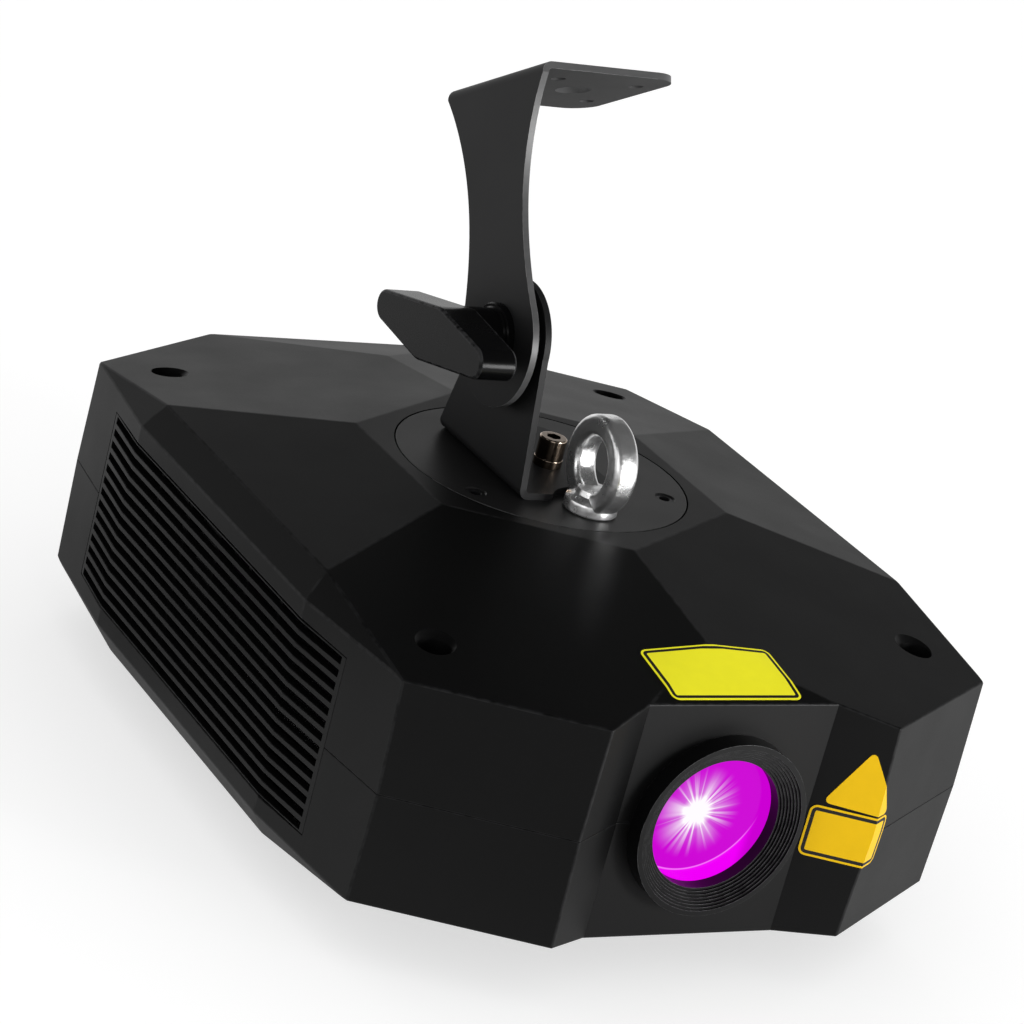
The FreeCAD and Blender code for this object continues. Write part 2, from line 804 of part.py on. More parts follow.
def build_feet():
    """Rubber feet under the case, each with a sunk screw."""
    feet = []
    screws = []
    for name, x, y in foot_places():
        pad = rod(name + "_pad", "foot_radius", "foot_height", (x, y, "0"))
        recess = rod(name + "_recess", "foot_recess_radius", "foot_recess_depth", (x, y, "0"))
        way = rod(name + "_way", "foot_screw_radius + thread_clearance", "foot_height", (x, y, "0"))
        feet.append(cut(name, pad, recess, way))
        head = rod(name + "_screw_head", "foot_screw_head_radius", "foot_screw_head_height",
                   (x, y, "foot_recess_depth - foot_screw_head_height"))
        shank = rod(name + "_screw_shank", "foot_screw_radius", "foot_screw_length",
                    (x, y, "foot_recess_depth"))
        screws.append(fuse(name + "_screw", head, shank))
    node("rubber_feet", group("foot_group", feet))
    node("foot_screws", group("foot_screw_group", screws))


def build_mounting_disc():
    """Steel disc let flush into the top, with its countersunk screws."""
    blank = rod("disc_blank", "disc_radius", "disc_thickness", ("0", "0", "case_top - disc_thickness"))
    tools = []
    screws = []
    for name, x, y in disc_screw_places():
        tools.append(countersunk_hole(name + "_hole", "disc_screw", (x, y, "case_top"), "Z"))
        screws.append(countersunk_screw(name, "disc_screw", (x, y, "case_top"), "Z"))
    for name, radius, y in (("disc_eye_hole", "eye_shank_radius", "-eye_reach"),
                            ("disc_clamp_hole", "clamp_screw_radius", "-clamp_reach")):
        tools.append(rod(name, radius + " + thread_clearance", "disc_thickness",
                         ("0", y, "case_top - disc_thickness")))
    node("top_mounting_disc", cut("disc", blank, *tools))
    node("disc_screws", group("disc_screw_group", screws))


def build_safety_eye():
    """Forged eye bolt for the safety wire, with the nut under the ledge."""
    at = ("0", "-eye_reach", "case_top")
    eye = doc.addObject("Part::Torus", "eye_ring")
    bind(eye, {"Radius1": "eye_ring_radius", "Radius2": "eye_wire_radius"})
    place(eye, along(at, "Z", "eye_ring_radius + eye_wire_radius"), AXIS_TURN["X"])
    collar = rod("eye_collar", "eye_collar_radius", "eye_collar_height", at)
    neck = frustum("eye_neck", "eye_collar_radius", "eye_neck_radius", "eye_wire_radius",
                   along(at, "Z", "eye_collar_height"))
    reach = "disc_thickness + ledge_depth + eye_nut_height"
    shank = rod("eye_shank", "eye_shank_radius", reach, along(at, "Z", "-(%s)" % reach))
    hole = drum("eye_opening", "eye_ring_radius - eye_wire_radius", "2 * eye_collar_radius",
                along(at, "Z", "eye_ring_radius + eye_wire_radius"), "X")
    node("safety_eye_bolt", fuse("eye_bolt", cut("eye_foot", fuse("eye_foot_solid", collar, neck), hole),
                                 eye, shank))
    nut = hexagon("eye_nut_hexagon", "eye_nut_radius", "eye_nut_height", along(at, "Z", "-(%s)" % reach))
    thread = rod("eye_nut_thread", "eye_shank_radius + thread_clearance", "eye_nut_height",
                 along(at, "Z", "-(%s)" % reach))
    node("eye_bolt_nut", cut("eye_nut", nut, thread))


def rounded_tongue(name, start_x, end_x, span, corner, bottom_z):
    """A flat tongue of sheet along X, with its reach to front and rear and rounded far corners."""
    front, rear = span
    middle_y = "(%s - %s) / 2" % (rear, front)
    middle_z = bottom_z + " + sheet_thickness / 2"
    long_size = ("(%s) - (%s) - (%s)" % (end_x, corner, start_x), "%s + %s" % span, "sheet_thickness")
    long_centre = ("((%s) - (%s) + (%s)) / 2" % (end_x, corner, start_x), middle_y, middle_z)
    tip_size = (corner, "%s + %s - 2 * %s" % (front, rear, corner), "sheet_thickness")
    tip_centre = ("%s - %s / 2" % (end_x, corner), middle_y, middle_z)
    pieces = [block(name + "_plate", long_size, long_centre), block(name + "_tip", tip_size, tip_centre)]
    for end, y in (("front", "%s - %s" % (corner, front)), ("rear", "%s - %s" % (rear, corner))):
        pieces.append(rod("%s_%s_corner" % (name, end), corner, "sheet_thickness",
                          ("%s - %s" % (end_x, corner), y, bottom_z)))
    return fuse(name, *pieces)


def bend(name, span, outer_x, centre_z, upward):
    """A quarter bend of sheet about Y; upward bends have their corner above the centre."""
    front, rear = span
    width = "%s + %s" % span
    tube = ring(name + "_tube", "bend_outer_radius", "bend_inner_radius", width,
                ("-(%s) + bend_outer_radius" % outer_x, "-" + front, centre_z), "Y")
    corner = block(name + "_corner", ("bend_outer_radius", width, "bend_outer_radius"),
                   ("-(%s) + bend_outer_radius / 2" % outer_x, "(%s - %s) / 2" % (rear, front),
                    "%s + %d * bend_outer_radius / 2" % (centre_z, upward)))
    return common(name, tube, corner)


def build_lower_bracket():
    """Fixed bracket on the disc: a foot keyed round the safety eye and an ear with a round end."""
    span = ("foot_plate_front", "foot_plate_rear")
    foot = rounded_tongue("bracket_foot", "-ear_offset + bend_outer_radius", "foot_plate_end", span,
                          "foot_plate_corner", "case_top")
    fold = bend("foot_bend", span, "ear_offset", "case_top + bend_outer_radius", -1)
    ear = taper("ear_taper", ("-foot_plate_front", "foot_plate_rear"),
                ("-ear_end_radius", "ear_end_radius"), "hinge_rise - bend_outer_radius",
                "sheet_thickness", ("-ear_offset", "0", "case_top + bend_outer_radius"),
                Rotation(Vector(1, 1, 1), 120))
    end = rod("ear_end", "ear_end_radius", "sheet_thickness", ("-ear_offset", "0", "hinge_z"), "X")
    notch = rod("eye_notch", "eye_notch_radius", "sheet_thickness", ("0", "-eye_reach", "case_top"))
    clamp_hole = rod("foot_clamp_hole", "clamp_screw_radius + thread_clearance", "sheet_thickness",
                     ("0", "-clamp_reach", "case_top"))
    pivot_hole = rod("ear_pivot_hole", "pivot_radius + running_clearance", "sheet_thickness",
                     ("-ear_offset", "0", "hinge_z"), "X")
    solid = fuse("lower_bracket_solid", foot, fold, ear, end)
    node("lower_bracket", cut("lower_bracket_cut", solid, notch, clamp_hole, pivot_hole))


def build_clamp_hardware():
    """Cap screw, washers and nut that clamp the bracket foot to the disc."""
    foot_top = ("0", "-clamp_reach", "case_top + sheet_thickness")
    hole = "clamp_screw_radius + thread_clearance"
    washers = [ring("clamp_washer_%d" % k, "clamp_washer_radius", hole, "clamp_washer_thickness",
                    along(foot_top, "Z", "%d * clamp_washer_thickness" % k), "Z") for k in range(2)]
    node("clamp_washers", group("clamp_washer_group", washers))
    seat = along(foot_top, "Z", "2 * clamp_washer_thickness")
    grip = "2 * clamp_washer_thickness + sheet_thickness + disc_thickness"
    reach = grip + " + clamp_nut_height + clamp_screw_spare"
    head = rod("clamp_head", "clamp_head_radius", "clamp_head_height", seat)
    shank = rod("clamp_shank", "clamp_screw_radius", reach, along(seat, "Z", "-(%s)" % reach))
    drive = hexagon("clamp_socket", "socket_radius", "socket_depth",
                    along(seat, "Z", "clamp_head_height - socket_depth"))
    node("clamp_screw", cut("clamp_screw_cut", fuse("clamp_screw_solid", head, shank), drive))
    nut_at = along(seat, "Z", "-(%s + clamp_nut_height)" % grip)
    nut = hexagon("clamp_nut_hexagon", "clamp_nut_radius", "clamp_nut_height", nut_at)
    node("clamp_nut", cut("clamp_nut_cut", nut, rod("clamp_nut_thread", hole, "clamp_nut_height", nut_at)))


def build_upper_bracket():
    """Tilting arm: a waisted plate about the hinge with a flange for the truss clamp on top."""
    middle_x = "-arm_offset + sheet_thickness / 2"
    end = rod("arm_end", "arm_end_radius", "sheet_thickness", ("-arm_offset", "0", "0"), "X")
    low = block("arm_low", ("sheet_thickness", "2 * arm_end_radius", "waist_rise - waist_tangent_rise"),
                (middle_x, "0", "(waist_rise + waist_tangent_rise) / 2"))
    high = block("arm_high", ("sheet_thickness", "2 * flange_half_width", "arm_bend_z - waist_rise"),
                 (middle_x, "0", "(arm_bend_z + waist_rise) / 2"))
    halves = []
    for half, plate, radius in (("low", low, "lower_waist_radius"), ("high", high, "upper_waist_radius")):
        waists = [rod("%s_waist_%s" % (half, side), radius, "sheet_thickness",
                      ("-arm_offset", "%d * (waist_half_width + %s)" % (sign, radius), "waist_rise"), "X")
                  for side, sign in SIDES.items()]
        halves.append(cut("arm_%s_waisted" % half, plate, *waists))
    span = ("flange_half_width", "flange_half_width")
    fold = bend("flange_bend", span, "arm_offset", "arm_bend_z", 1)
    flange = rounded_tongue("flange", "-arm_offset + bend_outer_radius", "flange_end", span,
                            "flange_corner", "arm_length - sheet_thickness")
    tools = [rod("arm_pivot_hole", "pivot_radius + running_clearance", "sheet_thickness",
                 ("-arm_offset", "0", "0"), "X")]
    tools.append(rod("clamp_bore", "clamp_bore_radius", "sheet_thickness",
                     ("0", "0", "arm_length - sheet_thickness")))
    for k, (i, j) in enumerate(CORNERS):
        tools.append(rod("flange_hole_%d" % k, "flange_hole_radius", "sheet_thickness",
                         ("%d * flange_hole_offset" % i, "%d * flange_hole_offset" % j,
                          "arm_length - sheet_thickness")))
    arm = cut("arm", fuse("arm_solid", end, *halves, fold, flange), *tools)
    place(arm, ("0", "0", "hinge_z"), Rotation(Vector(-1, 0, 0), value("arm_tilt")))
    node("upper_bracket", arm)


def build_pivot():
    """Pivot bolt through both bracket ears, friction washer and the wing knob that clamps them."""
    at = ("-ear_offset + sheet_thickness", "0", "hinge_z")
    reach = "arm_offset - ear_offset + sheet_thickness + knob_bore_depth - tool_overrun"
    shank = rod("pivot_shank", "pivot_radius", reach, along(at, "X", "-(%s)" % reach), "X")
    head = frustum("pivot_head", "pivot_head_radius", "pivot_head_crown_radius", "pivot_head_height", at,
                   "X")
    node("pivot_bolt", fuse("pivot", shank, head))
    washer = ring("friction_ring", "friction_washer_radius", "pivot_radius + running_clearance",
                  "friction_washer_thickness", ("-ear_offset - friction_washer_thickness", "0", "hinge_z"),
                  "X")
    node("friction_washer", washer)
    wing_x = "-arm_offset - knob_neck - knob_thickness"
    pieces = [rod("knob_stem", "knob_neck_radius", "knob_neck", ("-arm_offset - knob_neck", "0", "0"), "X"),
              rod("knob_flange", "knob_flange_radius", "knob_flange_height",
                  ("-arm_offset - knob_flange_height", "0", "0"), "X")]
    tip = ("-knob_tip_radius", "knob_tip_radius")
    front_corner = ("-knob_waist", "knob_half_width")
    rear_corner = ("-knob_half_width", "knob_waist")
    for name, span_from, span_to, start, length in (
            ("knob_front", tip, front_corner, "-knob_reach", "knob_reach - knob_corner_shift"),
            ("knob_middle", front_corner, rear_corner, "-knob_corner_shift", "2 * knob_corner_shift"),
            ("knob_rear", rear_corner, tip, "knob_corner_shift", "knob_reach - knob_corner_shift")):
        pieces.append(taper(name, span_from, span_to, length, "knob_thickness",
                            ("-arm_offset - knob_neck", start, "0"), Rotation(Vector(0, 1, 0), -90)))
    for k, sign in enumerate(SIDES.values()):
        pieces.append(rod("knob_tip_%d" % k, "knob_tip_radius", "knob_thickness",
                          (wing_x, "%d * knob_reach" % sign, "0"), "X"))
    bore = rod("knob_bore", "pivot_radius + running_clearance", "knob_bore_depth",
               ("-arm_offset - knob_bore_depth", "0", "0"), "X")
    knob = cut("knob", fuse("knob_solid", *pieces), bore)
    place(knob, ("0", "0", "hinge_z"), Rotation(Vector(-1, 0, 0), value("knob_turn")))
    node("tilt_knob", knob)


def build_lens():
    """Stepped lens ring in the recess floor, its lock nut, and the glass held by gasket and retainer."""
    front = ("0", "-lens_front", "parting")
    flange = rod("lens_flange", "lens_ring_radius", "lens_ring_proud", front, "Y")
    spigot = rod("lens_spigot", "lens_spigot_radius", "lens_spigot_length",
                 along(front, "Y", "lens_ring_proud"), "Y")
    tools = [rod("lens_bore", "lens_bore_radius", "glass_setback", front, "Y"),
             rod("glass_seat", "glass_radius + thread_clearance",
                 "lens_ring_proud + lens_spigot_length - glass_setback",
                 along(front, "Y", "glass_setback"), "Y")]
    for k in range(FUNNEL_STEP_COUNT):
        share = k / FUNNEL_STEP_COUNT
        depth = (k + 1) / FUNNEL_STEP_COUNT
        tools.append(rod("funnel_step_%d" % k,
                         "funnel_mouth_radius - %.6f * (funnel_mouth_radius - lens_bore_radius)" % share,
                         "%.6f * funnel_depth" % depth, front, "Y"))
    node("lens_ring", cut("lens_ring_cut", fuse("lens_ring_solid", flange, spigot), *tools))
    glass = ("0", "-glass_front", "parting")
    node("aperture_glass", rod("glass", "glass_radius", "glass_thickness", glass, "Y"))
    gasket = along(glass, "Y", "glass_thickness")
    node("glass_gasket", ring("gasket", "glass_radius", "retainer_bore_radius", "gasket_thickness", gasket,
                              "Y"))
    node("glass_retainer", ring("retainer", "glass_radius", "retainer_bore_radius", "retainer_thickness",
                                along(gasket, "Y", "gasket_thickness"), "Y"))
    node("lens_ring_nut", ring("lens_nut", "lens_nut_radius", "lens_spigot_radius + thread_clearance",
                               "lens_nut_thickness", ("0", "-recess_floor_reach + case_wall", "parting"),
                               "Y"))


def grille_plate(sign):
    """Bent plate that continues the cheek and its two end walls across the vent window."""
    length = value("grille_half_length") - value("seat_gap")
    half_height = value("grille_half_height") - value("seat_gap")
    flat = value("cheek_half_flat")
    cheek = value("cheek_half_width")
    fall = (cheek - value("corner_half_width")) / (rim_corner_y() - flat)
    end_x = cheek - (length - flat) * fall
    outside = [(end_x, -length), (cheek, -flat), (cheek, flat), (end_x, length)]
    inside = [(x - value("grille_thickness"), y) for x, y in reversed(outside)]
    outline = [Vector(sign * x, y, value("parting") - half_height) for x, y in outside + inside]
    return Part.Face(Part.makePolygon(outline + outline[:1])).extrude(Vector(0, 0, 2 * half_height))


def build_vents():
    """Slotted grille with ribs behind it, and the fan that blows through it, on each cheek."""
    for side, sign in SIDES.items():
        slots = []
        for k in range(GRILLE_SLOT_COUNT):
            share = (k + 0.5) / GRILLE_SLOT_COUNT
            slots.append(block("%s_slot_%d" % (side, k),
                               ("6 * grille_thickness", "2 * (grille_half_length - slot_margin)",
                                "slot_height"),
                               ("%d * cheek_half_width" % sign, "0",
                                "parting + grille_half_height * (2 * %.6f - 1)" % share)))
        pieces = [cut(side + "_slotted", feature(side + "_grille_plate", grille_plate(sign)), *slots)]
        for k in range(-2, 3):
            pieces.append(block("%s_rib_%d" % (side, k + 2),
                                ("rib_depth", "rib_width", "2 * (grille_half_height - seat_gap)"),
                                ("%d * (cheek_half_width - grille_thickness - rib_depth / 2)" % sign,
                                 "%d * rib_pitch" % k, "parting")))
        node(side + "_vent_grille", fuse(side + "_grille", *pieces))
        build_fan(side, sign)


def rotor_shape():
    """Hub, shaft and pitched blades of a fan about X, with the hub face at the origin."""
    length = value("rotor_hub_length")
    hub = Part.makeCylinder(value("rotor_hub_radius"), length, Vector(), Vector(1, 0, 0))
    shaft_length = value("fan_plate_thickness") + value("seat_gap")
    shaft = Part.makeCylinder(value("rotor_shaft_radius"), shaft_length, Vector(-shaft_length, 0, 0),
                              Vector(1, 0, 0))
    tip = value("fan_bore_radius") - value("blade_tip_gap")
    root = value("rotor_hub_radius") - value("blade_tip_gap")
    thick = value("blade_thickness")
    chord = value("blade_chord")
    blades = []
    for k in range(BLADE_COUNT):
        blade = Part.makeBox(thick, chord, tip - root, Vector(-thick / 2, -chord / 2, root))
        blade.rotate(Vector(), Vector(0, 0, 1), value("blade_pitch"))
        blade.translate(Vector(length / 2, 0, 0))
        blade.rotate(Vector(), Vector(1, 0, 0), 360 * k / BLADE_COUNT)
        blades.append(blade)
    return hub.multiFuse([shaft] + blades).removeSplitter()


def build_fan(side, sign):
    """Fan frame seated on the ribs of the grille, and its rotor on a short shaft."""
    centre = ("%d * fan_x" % sign, "rib_pitch", "parting")
    plate = along(centre, "X", "%d * (fan_plate_thickness - fan_thickness) / 2" % sign)
    frame = block(side + "_fan_body", ("fan_thickness", "fan_size", "fan_size"), centre)
    bored = cut(side + "_fan_bored", frame, drum(side + "_fan_bore", "fan_bore_radius", "fan_thickness",
                                                 centre, "X"))
    pieces = [bored, drum(side + "_fan_plate", "fan_plate_radius", "fan_plate_thickness", plate, "X"),
              block(side + "_fan_strut_y", ("fan_plate_thickness",
                                            "2 * fan_bore_radius + fan_strut_width / 4", "fan_strut_width"),
                    plate),
              block(side + "_fan_strut_z", ("fan_plate_thickness", "fan_strut_width",
                                            "2 * fan_bore_radius + fan_strut_width / 4"), plate)]
    shaft_hole = drum(side + "_fan_shaft_hole", "rotor_shaft_radius + running_clearance",
                      "fan_plate_thickness", plate, "X")
    node(side + "_fan_frame", cut(side + "_fan", fuse(side + "_fan_solid", *pieces), shaft_hole))
    rotor = feature(side + "_rotor", rotor_shape())
    face = along(centre, "X", "%d * (fan_plate_thickness + seat_gap - fan_thickness / 2)" % sign)
    place(rotor, face, Rotation() if sign > 0 else Rotation(Vector(0, 0, 1), 180))
    node(side + "_fan_rotor", rotor)


def bay_place(x, rise):
    """A place on the outer face of the bay floor."""
    return (x, "bay_floor", "parting + " + rise)


def round_pins(name, at, radius, circle, length, turns):
    """Round contact pins on a circle, along Y."""
    x, y, z = at
    return [rod("%s_%d" % (name, turn), radius, length,
                ("%s + %s * cos(%d deg)" % (x, circle, turn), y,
                 "%s + %s * sin(%d deg)" % (z, circle, turn)), "Y")
            for turn in turns]


def build_rear_panel():
    """Sheet metal tray of the connector bay, with its openings and its countersunk screws."""
    size = ("2 * (bay_half_width + tray_wall)", "bay_depth + tray_wall",
            "2 * (bay_half_height + tray_wall)")
    shell = block("tray_outside", size, ("0", "half_depth - (bay_depth + tray_wall) / 2", "parting"))
    lip = block("tray_lip", ("2 * (bay_half_width + tray_wall + tray_lip_side)", "tray_wall",
                             "2 * (bay_half_height + tray_wall + tray_lip_top)"),
                ("0", "half_depth - case_wall - tray_wall / 2", "parting"))
    tools = [block("tray_inside", ("2 * bay_half_width", "bay_depth", "2 * bay_half_height"),
                   ("0", "half_depth - bay_depth / 2", "parting"))]
    screws = []
    for k, (i, j) in enumerate(CORNERS):
        at = ("%d * panel_screw_x" % i, "half_depth", "parting + %d * panel_screw_z" % j)
        tools.append(rod("lip_hole_%d" % k, "panel_screw_radius + thread_clearance", "panel_screw_length",
                         along(at, "Y", "-panel_screw_length"), "Y"))
        screws.append(countersunk_screw("panel_screw_%d" % k, "panel_screw", at, "Y"))
    for name, radius, at in (("dmx_input_hole", "dmx_barrel_radius",
                              bay_place("dmx_input_x", "-socket_row_drop")),
                             ("dmx_output_hole", "dmx_barrel_radius",
                              bay_place("dmx_output_x", "-socket_row_drop")),
                             ("interlock_hole", "interlock_body_radius",
                              bay_place("-interlock_x", "upper_row_rise")),
                             ("key_hole", "key_body_radius", bay_place("-key_x", "upper_row_rise"))):
        tools.append(drum(name, radius + " + seat_gap", "4 * tray_wall", at, "Y"))
    tools.append(block("inlet_hole", ("inlet_body_width + 2 * seat_gap", "4 * tray_wall",
                                      "inlet_body_height + 2 * seat_gap"),
                       bay_place("-inlet_x", "-socket_row_drop")))
    for name, x in button_places():
        tools.append(drum(name + "_hole", "button_radius + seat_gap", "4 * tray_wall",
                          bay_place(x, "button_rise"), "Y"))
    node("rear_panel", cut("rear_panel_cut", fuse("rear_panel_solid", shell, lip), *tools))
    node("panel_screws", group("panel_screw_group", screws))


def build_dmx_sockets():
    """Round control sockets on square flanges; returns the pins of one and the hole insert of the other."""
    for name, x in (("dmx_input", "dmx_input_x"), ("dmx_output", "dmx_output_x")):
        at = bay_place(x, "-socket_row_drop")
        flange = block(name + "_flange", ("dmx_flange_width", "dmx_flange_thickness", "dmx_flange_height"),
                       along(at, "Y", "dmx_flange_thickness / 2"))
        barrel = rod(name + "_barrel", "dmx_barrel_radius", "dmx_barrel_length",
                     along(at, "Y", "-dmx_barrel_length"), "Y")
        cavity = rod(name + "_cavity", "dmx_cavity_radius", "dmx_cavity_depth", dmx_bottom(x), "Y")
        node(name + "_socket", cut(name + "_body", fuse(name + "_solid", flange, barrel), cavity))
    pins = round_pins("dmx_input_pin", dmx_bottom("dmx_input_x"), "dmx_pin_radius", "dmx_pin_circle",
                      "dmx_pin_length", (30, 150, 270))
    bottom = dmx_bottom("dmx_output_x")
    insert = rod("dmx_output_insert", "dmx_insert_radius", "dmx_cavity_depth", bottom, "Y")
    holes = round_pins("dmx_output_pin_hole", bottom, "dmx_hole_radius", "dmx_pin_circle",
                       "dmx_cavity_depth", (90, 210, 330))
    return pins + [cut("dmx_output_insert_bored", insert, *holes)]


def dmx_bottom(x):
    """The middle of the cavity bottom of a control socket."""
    return along(bay_place(x, "-socket_row_drop"), "Y", "dmx_flange_thickness - dmx_cavity_depth")


def build_power_inlet():
    """Mains inlet with its earth and line blades."""
    at = bay_place("-inlet_x", "-socket_row_drop")
    flange = block("inlet_flange", ("inlet_flange_width", "inlet_flange_thickness", "inlet_flange_height"),
                   along(at, "Y", "inlet_flange_thickness / 2"))
    body = block("inlet_body", ("inlet_body_width", "inlet_body_length", "inlet_body_height"),
                 along(at, "Y", "-inlet_body_length / 2"))
    floor = along(at, "Y", "inlet_flange_thickness - inlet_cavity_depth")
    cavity = block("inlet_cavity", ("inlet_cavity_width", "inlet_cavity_depth", "inlet_cavity_height"),
                   along(floor, "Y", "inlet_cavity_depth / 2"))
    node("power_inlet", cut("inlet", fuse("inlet_solid", flange, body), cavity))
    blade = ("inlet_blade_width", "inlet_blade_length", "inlet_blade_height")
    return [block("inlet_blade_%d" % k, blade,
                  along(along(along(floor, "Y", "inlet_blade_length / 2"), "X",
                              "%d * inlet_blade_pitch" % k),
                        "Z", "inlet_earth_rise / 2" if k == 0 else "-inlet_earth_rise / 2"))
            for k in (-1, 0, 1)]


def build_interlock():
    """Round socket for the remote emergency stop loop."""
    at = bay_place("-interlock_x", "upper_row_rise")
    bezel = rod("interlock_bezel", "interlock_bezel_radius", "interlock_bezel_height", at, "Y")
    body = rod("interlock_body", "interlock_body_radius", "interlock_body_length",
               along(at, "Y", "-interlock_body_length"), "Y")
    bottom = along(at, "Y", "interlock_bezel_height - interlock_cavity_depth")
    cavity = rod("interlock_cavity", "interlock_cavity_radius", "interlock_cavity_depth", bottom, "Y")
    node("interlock_socket", cut("interlock", fuse("interlock_solid", bezel, body), cavity))
    return round_pins("interlock_pin", bottom, "interlock_pin_radius", "interlock_pin_circle",
                      "interlock_pin_length",
                      (45, 135, 225, 315))


def build_key_switch():
    """Key switch with its turning key."""
    at = bay_place("-key_x", "upper_row_rise")
    bezel = rod("key_bezel", "key_bezel_radius", "key_bezel_height", at, "Y")
    body = rod("key_body", "key_body_radius", "key_body_length", along(at, "Y", "-key_body_length"), "Y")
    bottom = along(at, "Y", "key_bezel_height - key_plug_depth")
    bore = rod("key_bore", "key_plug_radius + running_clearance", "key_plug_depth", bottom, "Y")
    node("key_switch", cut("key_switch_cut", fuse("key_switch_solid", bezel, body), bore))
    plug = rod("key_plug", "key_plug_radius", "key_plug_depth", bottom, "Y")
    face = along(at, "Y", "key_bezel_height")
    stem = block("key_stem", ("key_bow_thickness", "2 * key_stem_length", "key_stem_width"),
                 along(face, "Y", "key_stem_length"))
    bow_centre = along(face, "Y", "key_stem_length + key_bow_radius")
    bow = drum("key_bow", "key_bow_radius", "key_bow_thickness", bow_centre, "X")
    hole = drum("key_bow_hole", "key_bow_hole_radius", "key_bow_thickness", bow_centre, "X")
    node("switch_key", cut("switch_key_cut", fuse("switch_key_solid", plug, stem, bow), hole))


def button_places():
    """Name and X position of each menu button."""
    return [("menu_button_%d" % (k + 1), "display_x + %.1f * button_pitch" % (k - (BUTTON_COUNT - 1) / 2))
            for k in range(BUTTON_COUNT)]


def build_menu():
    """Display window and the menu buttons below it."""
    node("display_window", block("display", ("display_width", "display_thickness", "display_height"),
                                 along(bay_place("display_x", "display_rise"), "Y",
                                       "display_thickness / 2")))
    for name, x in button_places():
        at = bay_place(x, "button_rise")
        cap = rod(name + "_cap", "button_radius", "button_proud + tray_wall", along(at, "Y", "-tray_wall"),
                  "Y")
        flange = rod(name + "_flange", "button_flange_radius", "button_flange_thickness",
                     along(at, "Y", "-tray_wall - button_flange_thickness"), "Y")
        node(name, fuse(name + "_solid", cap, flange))


def build_control_board():
    """Upright control board behind the bay, on standoffs, with the switches of the menu buttons."""
    face = "bay_floor - tray_wall - control_board_setback"
    board = block("control_board_plate", ("2 * control_board_half_width", "board_thickness",
                                          "2 * control_board_half_height"),
                  ("0", face + " - board_thickness / 2", "parting"))
    reach = "control_board_setback - button_flange_thickness - button_switch_gap"
    switches = [block(name + "_switch", ("button_switch_size", reach, "button_switch_size"),
                      (x, "%s + (%s) / 2" % (face, reach), "parting + button_rise")) for name,
                x in button_places()]
    chips = [block("control_chip_%d" % k, ("chip_size", "chip_height", "chip_size"),
                   ("%d * 2 * chip_size" % k, "%s - board_thickness - chip_height / 2" % face,
                    "parting")) for k in (-1, 0, 1)]
    node("control_board", fuse("control_board_solid", board, *switches, *chips))
    posts = [rod("control_standoff_%d" % k, "standoff_radius", "control_board_setback",
                 ("%d * control_standoff_x" % i, face, "parting + %d * control_standoff_z" % j), "Y")
             for k, (i, j) in enumerate(CORNERS)]
    node("control_standoffs", group("control_standoff_group", posts))


def plate_post_places():
    """Name and plan position of each post under the optical plate."""
    return [("plate_post_%d" % k, "%d * plate_post_x" % i,
             "plate_post_rear" if j > 0 else "-plate_post_front")
            for k, (i, j) in enumerate(CORNERS)]


def build_optical_plate():
    """Aluminium plate that carries the optics, its screws, and the power supply hung below it."""
    plate = block("plate", ("2 * plate_half_width", "plate_front + plate_rear", "plate_thickness"),
                  ("0", "(plate_rear - plate_front) / 2", "plate_bottom + plate_thickness / 2"))
    tools = []
    screws = []
    for name, x, y in plate_post_places():
        tools.append(rod(name + "_way", "plate_screw_radius + thread_clearance", "plate_thickness",
                         (x, y, "plate_bottom")))
        head = rod(name + "_head", "plate_screw_head_radius", "plate_screw_head_height",
                   (x, y, "plate_top"))
        shank = rod(name + "_shank", "plate_screw_radius", "plate_screw_length",
                    (x, y, "plate_top - plate_screw_length"))
        screws.append(fuse(name + "_screw", head, shank))
    node("optical_plate", cut("optical_plate_cut", plate, *tools))
    node("plate_screws", group("plate_screw_group", screws))
    node("power_supply", block("supply", ("supply_length", "supply_width", "supply_height"),
                               ("0", "0", "plate_bottom - supply_height / 2")))


def build_lasers():
    """Red module on the beam line, green and blue modules beside it, each with cooling grooves."""
    rise = "plate_top + laser_height / 2"
    side_x = "laser_length / 2 - side_laser_start_x"
    for colour, size, centre, axis in (
            ("red", ("laser_width", "laser_length", "laser_height"),
             ("-beam_line_x", "red_laser_y + laser_length / 2", rise), "Y"),
            ("green", ("laser_length", "laser_width", "laser_height"), (side_x, "-green_beam_y", rise),
             "X"),
            ("blue", ("laser_length", "laser_width", "laser_height"), (side_x, "-blue_beam_y", rise), "X")):
        body = block(colour + "_body", size, centre)
        across = "X" if axis == "Y" else "Y"
        grooves = []
        for k in range(LASER_FIN_COUNT):
            groove_size = ("laser_fin_width", "laser_length", "laser_fin_depth")
            shift = "%.1f * laser_width / %d" % (k - (LASER_FIN_COUNT - 1) / 2, LASER_FIN_COUNT)
            at = along(along(centre, across, shift), "Z", "(laser_height - laser_fin_depth) / 2")
            if axis == "X":
                groove_size = ("laser_length", "laser_fin_width", "laser_fin_depth")
            grooves.append(block("%s_groove_%d" % (colour, k), groove_size, at))
        nozzle = rod(colour + "_nozzle", "laser_nozzle_radius", "laser_nozzle_length",
                     along(along(centre, axis, "-laser_length / 2 - laser_nozzle_length"), "Z",
                           "beam_rise - laser_height / 2"),
                     axis)
        node(colour + "_laser_module", fuse(colour + "_module", cut(colour + "_grooved", body, *grooves),
                                            nozzle))


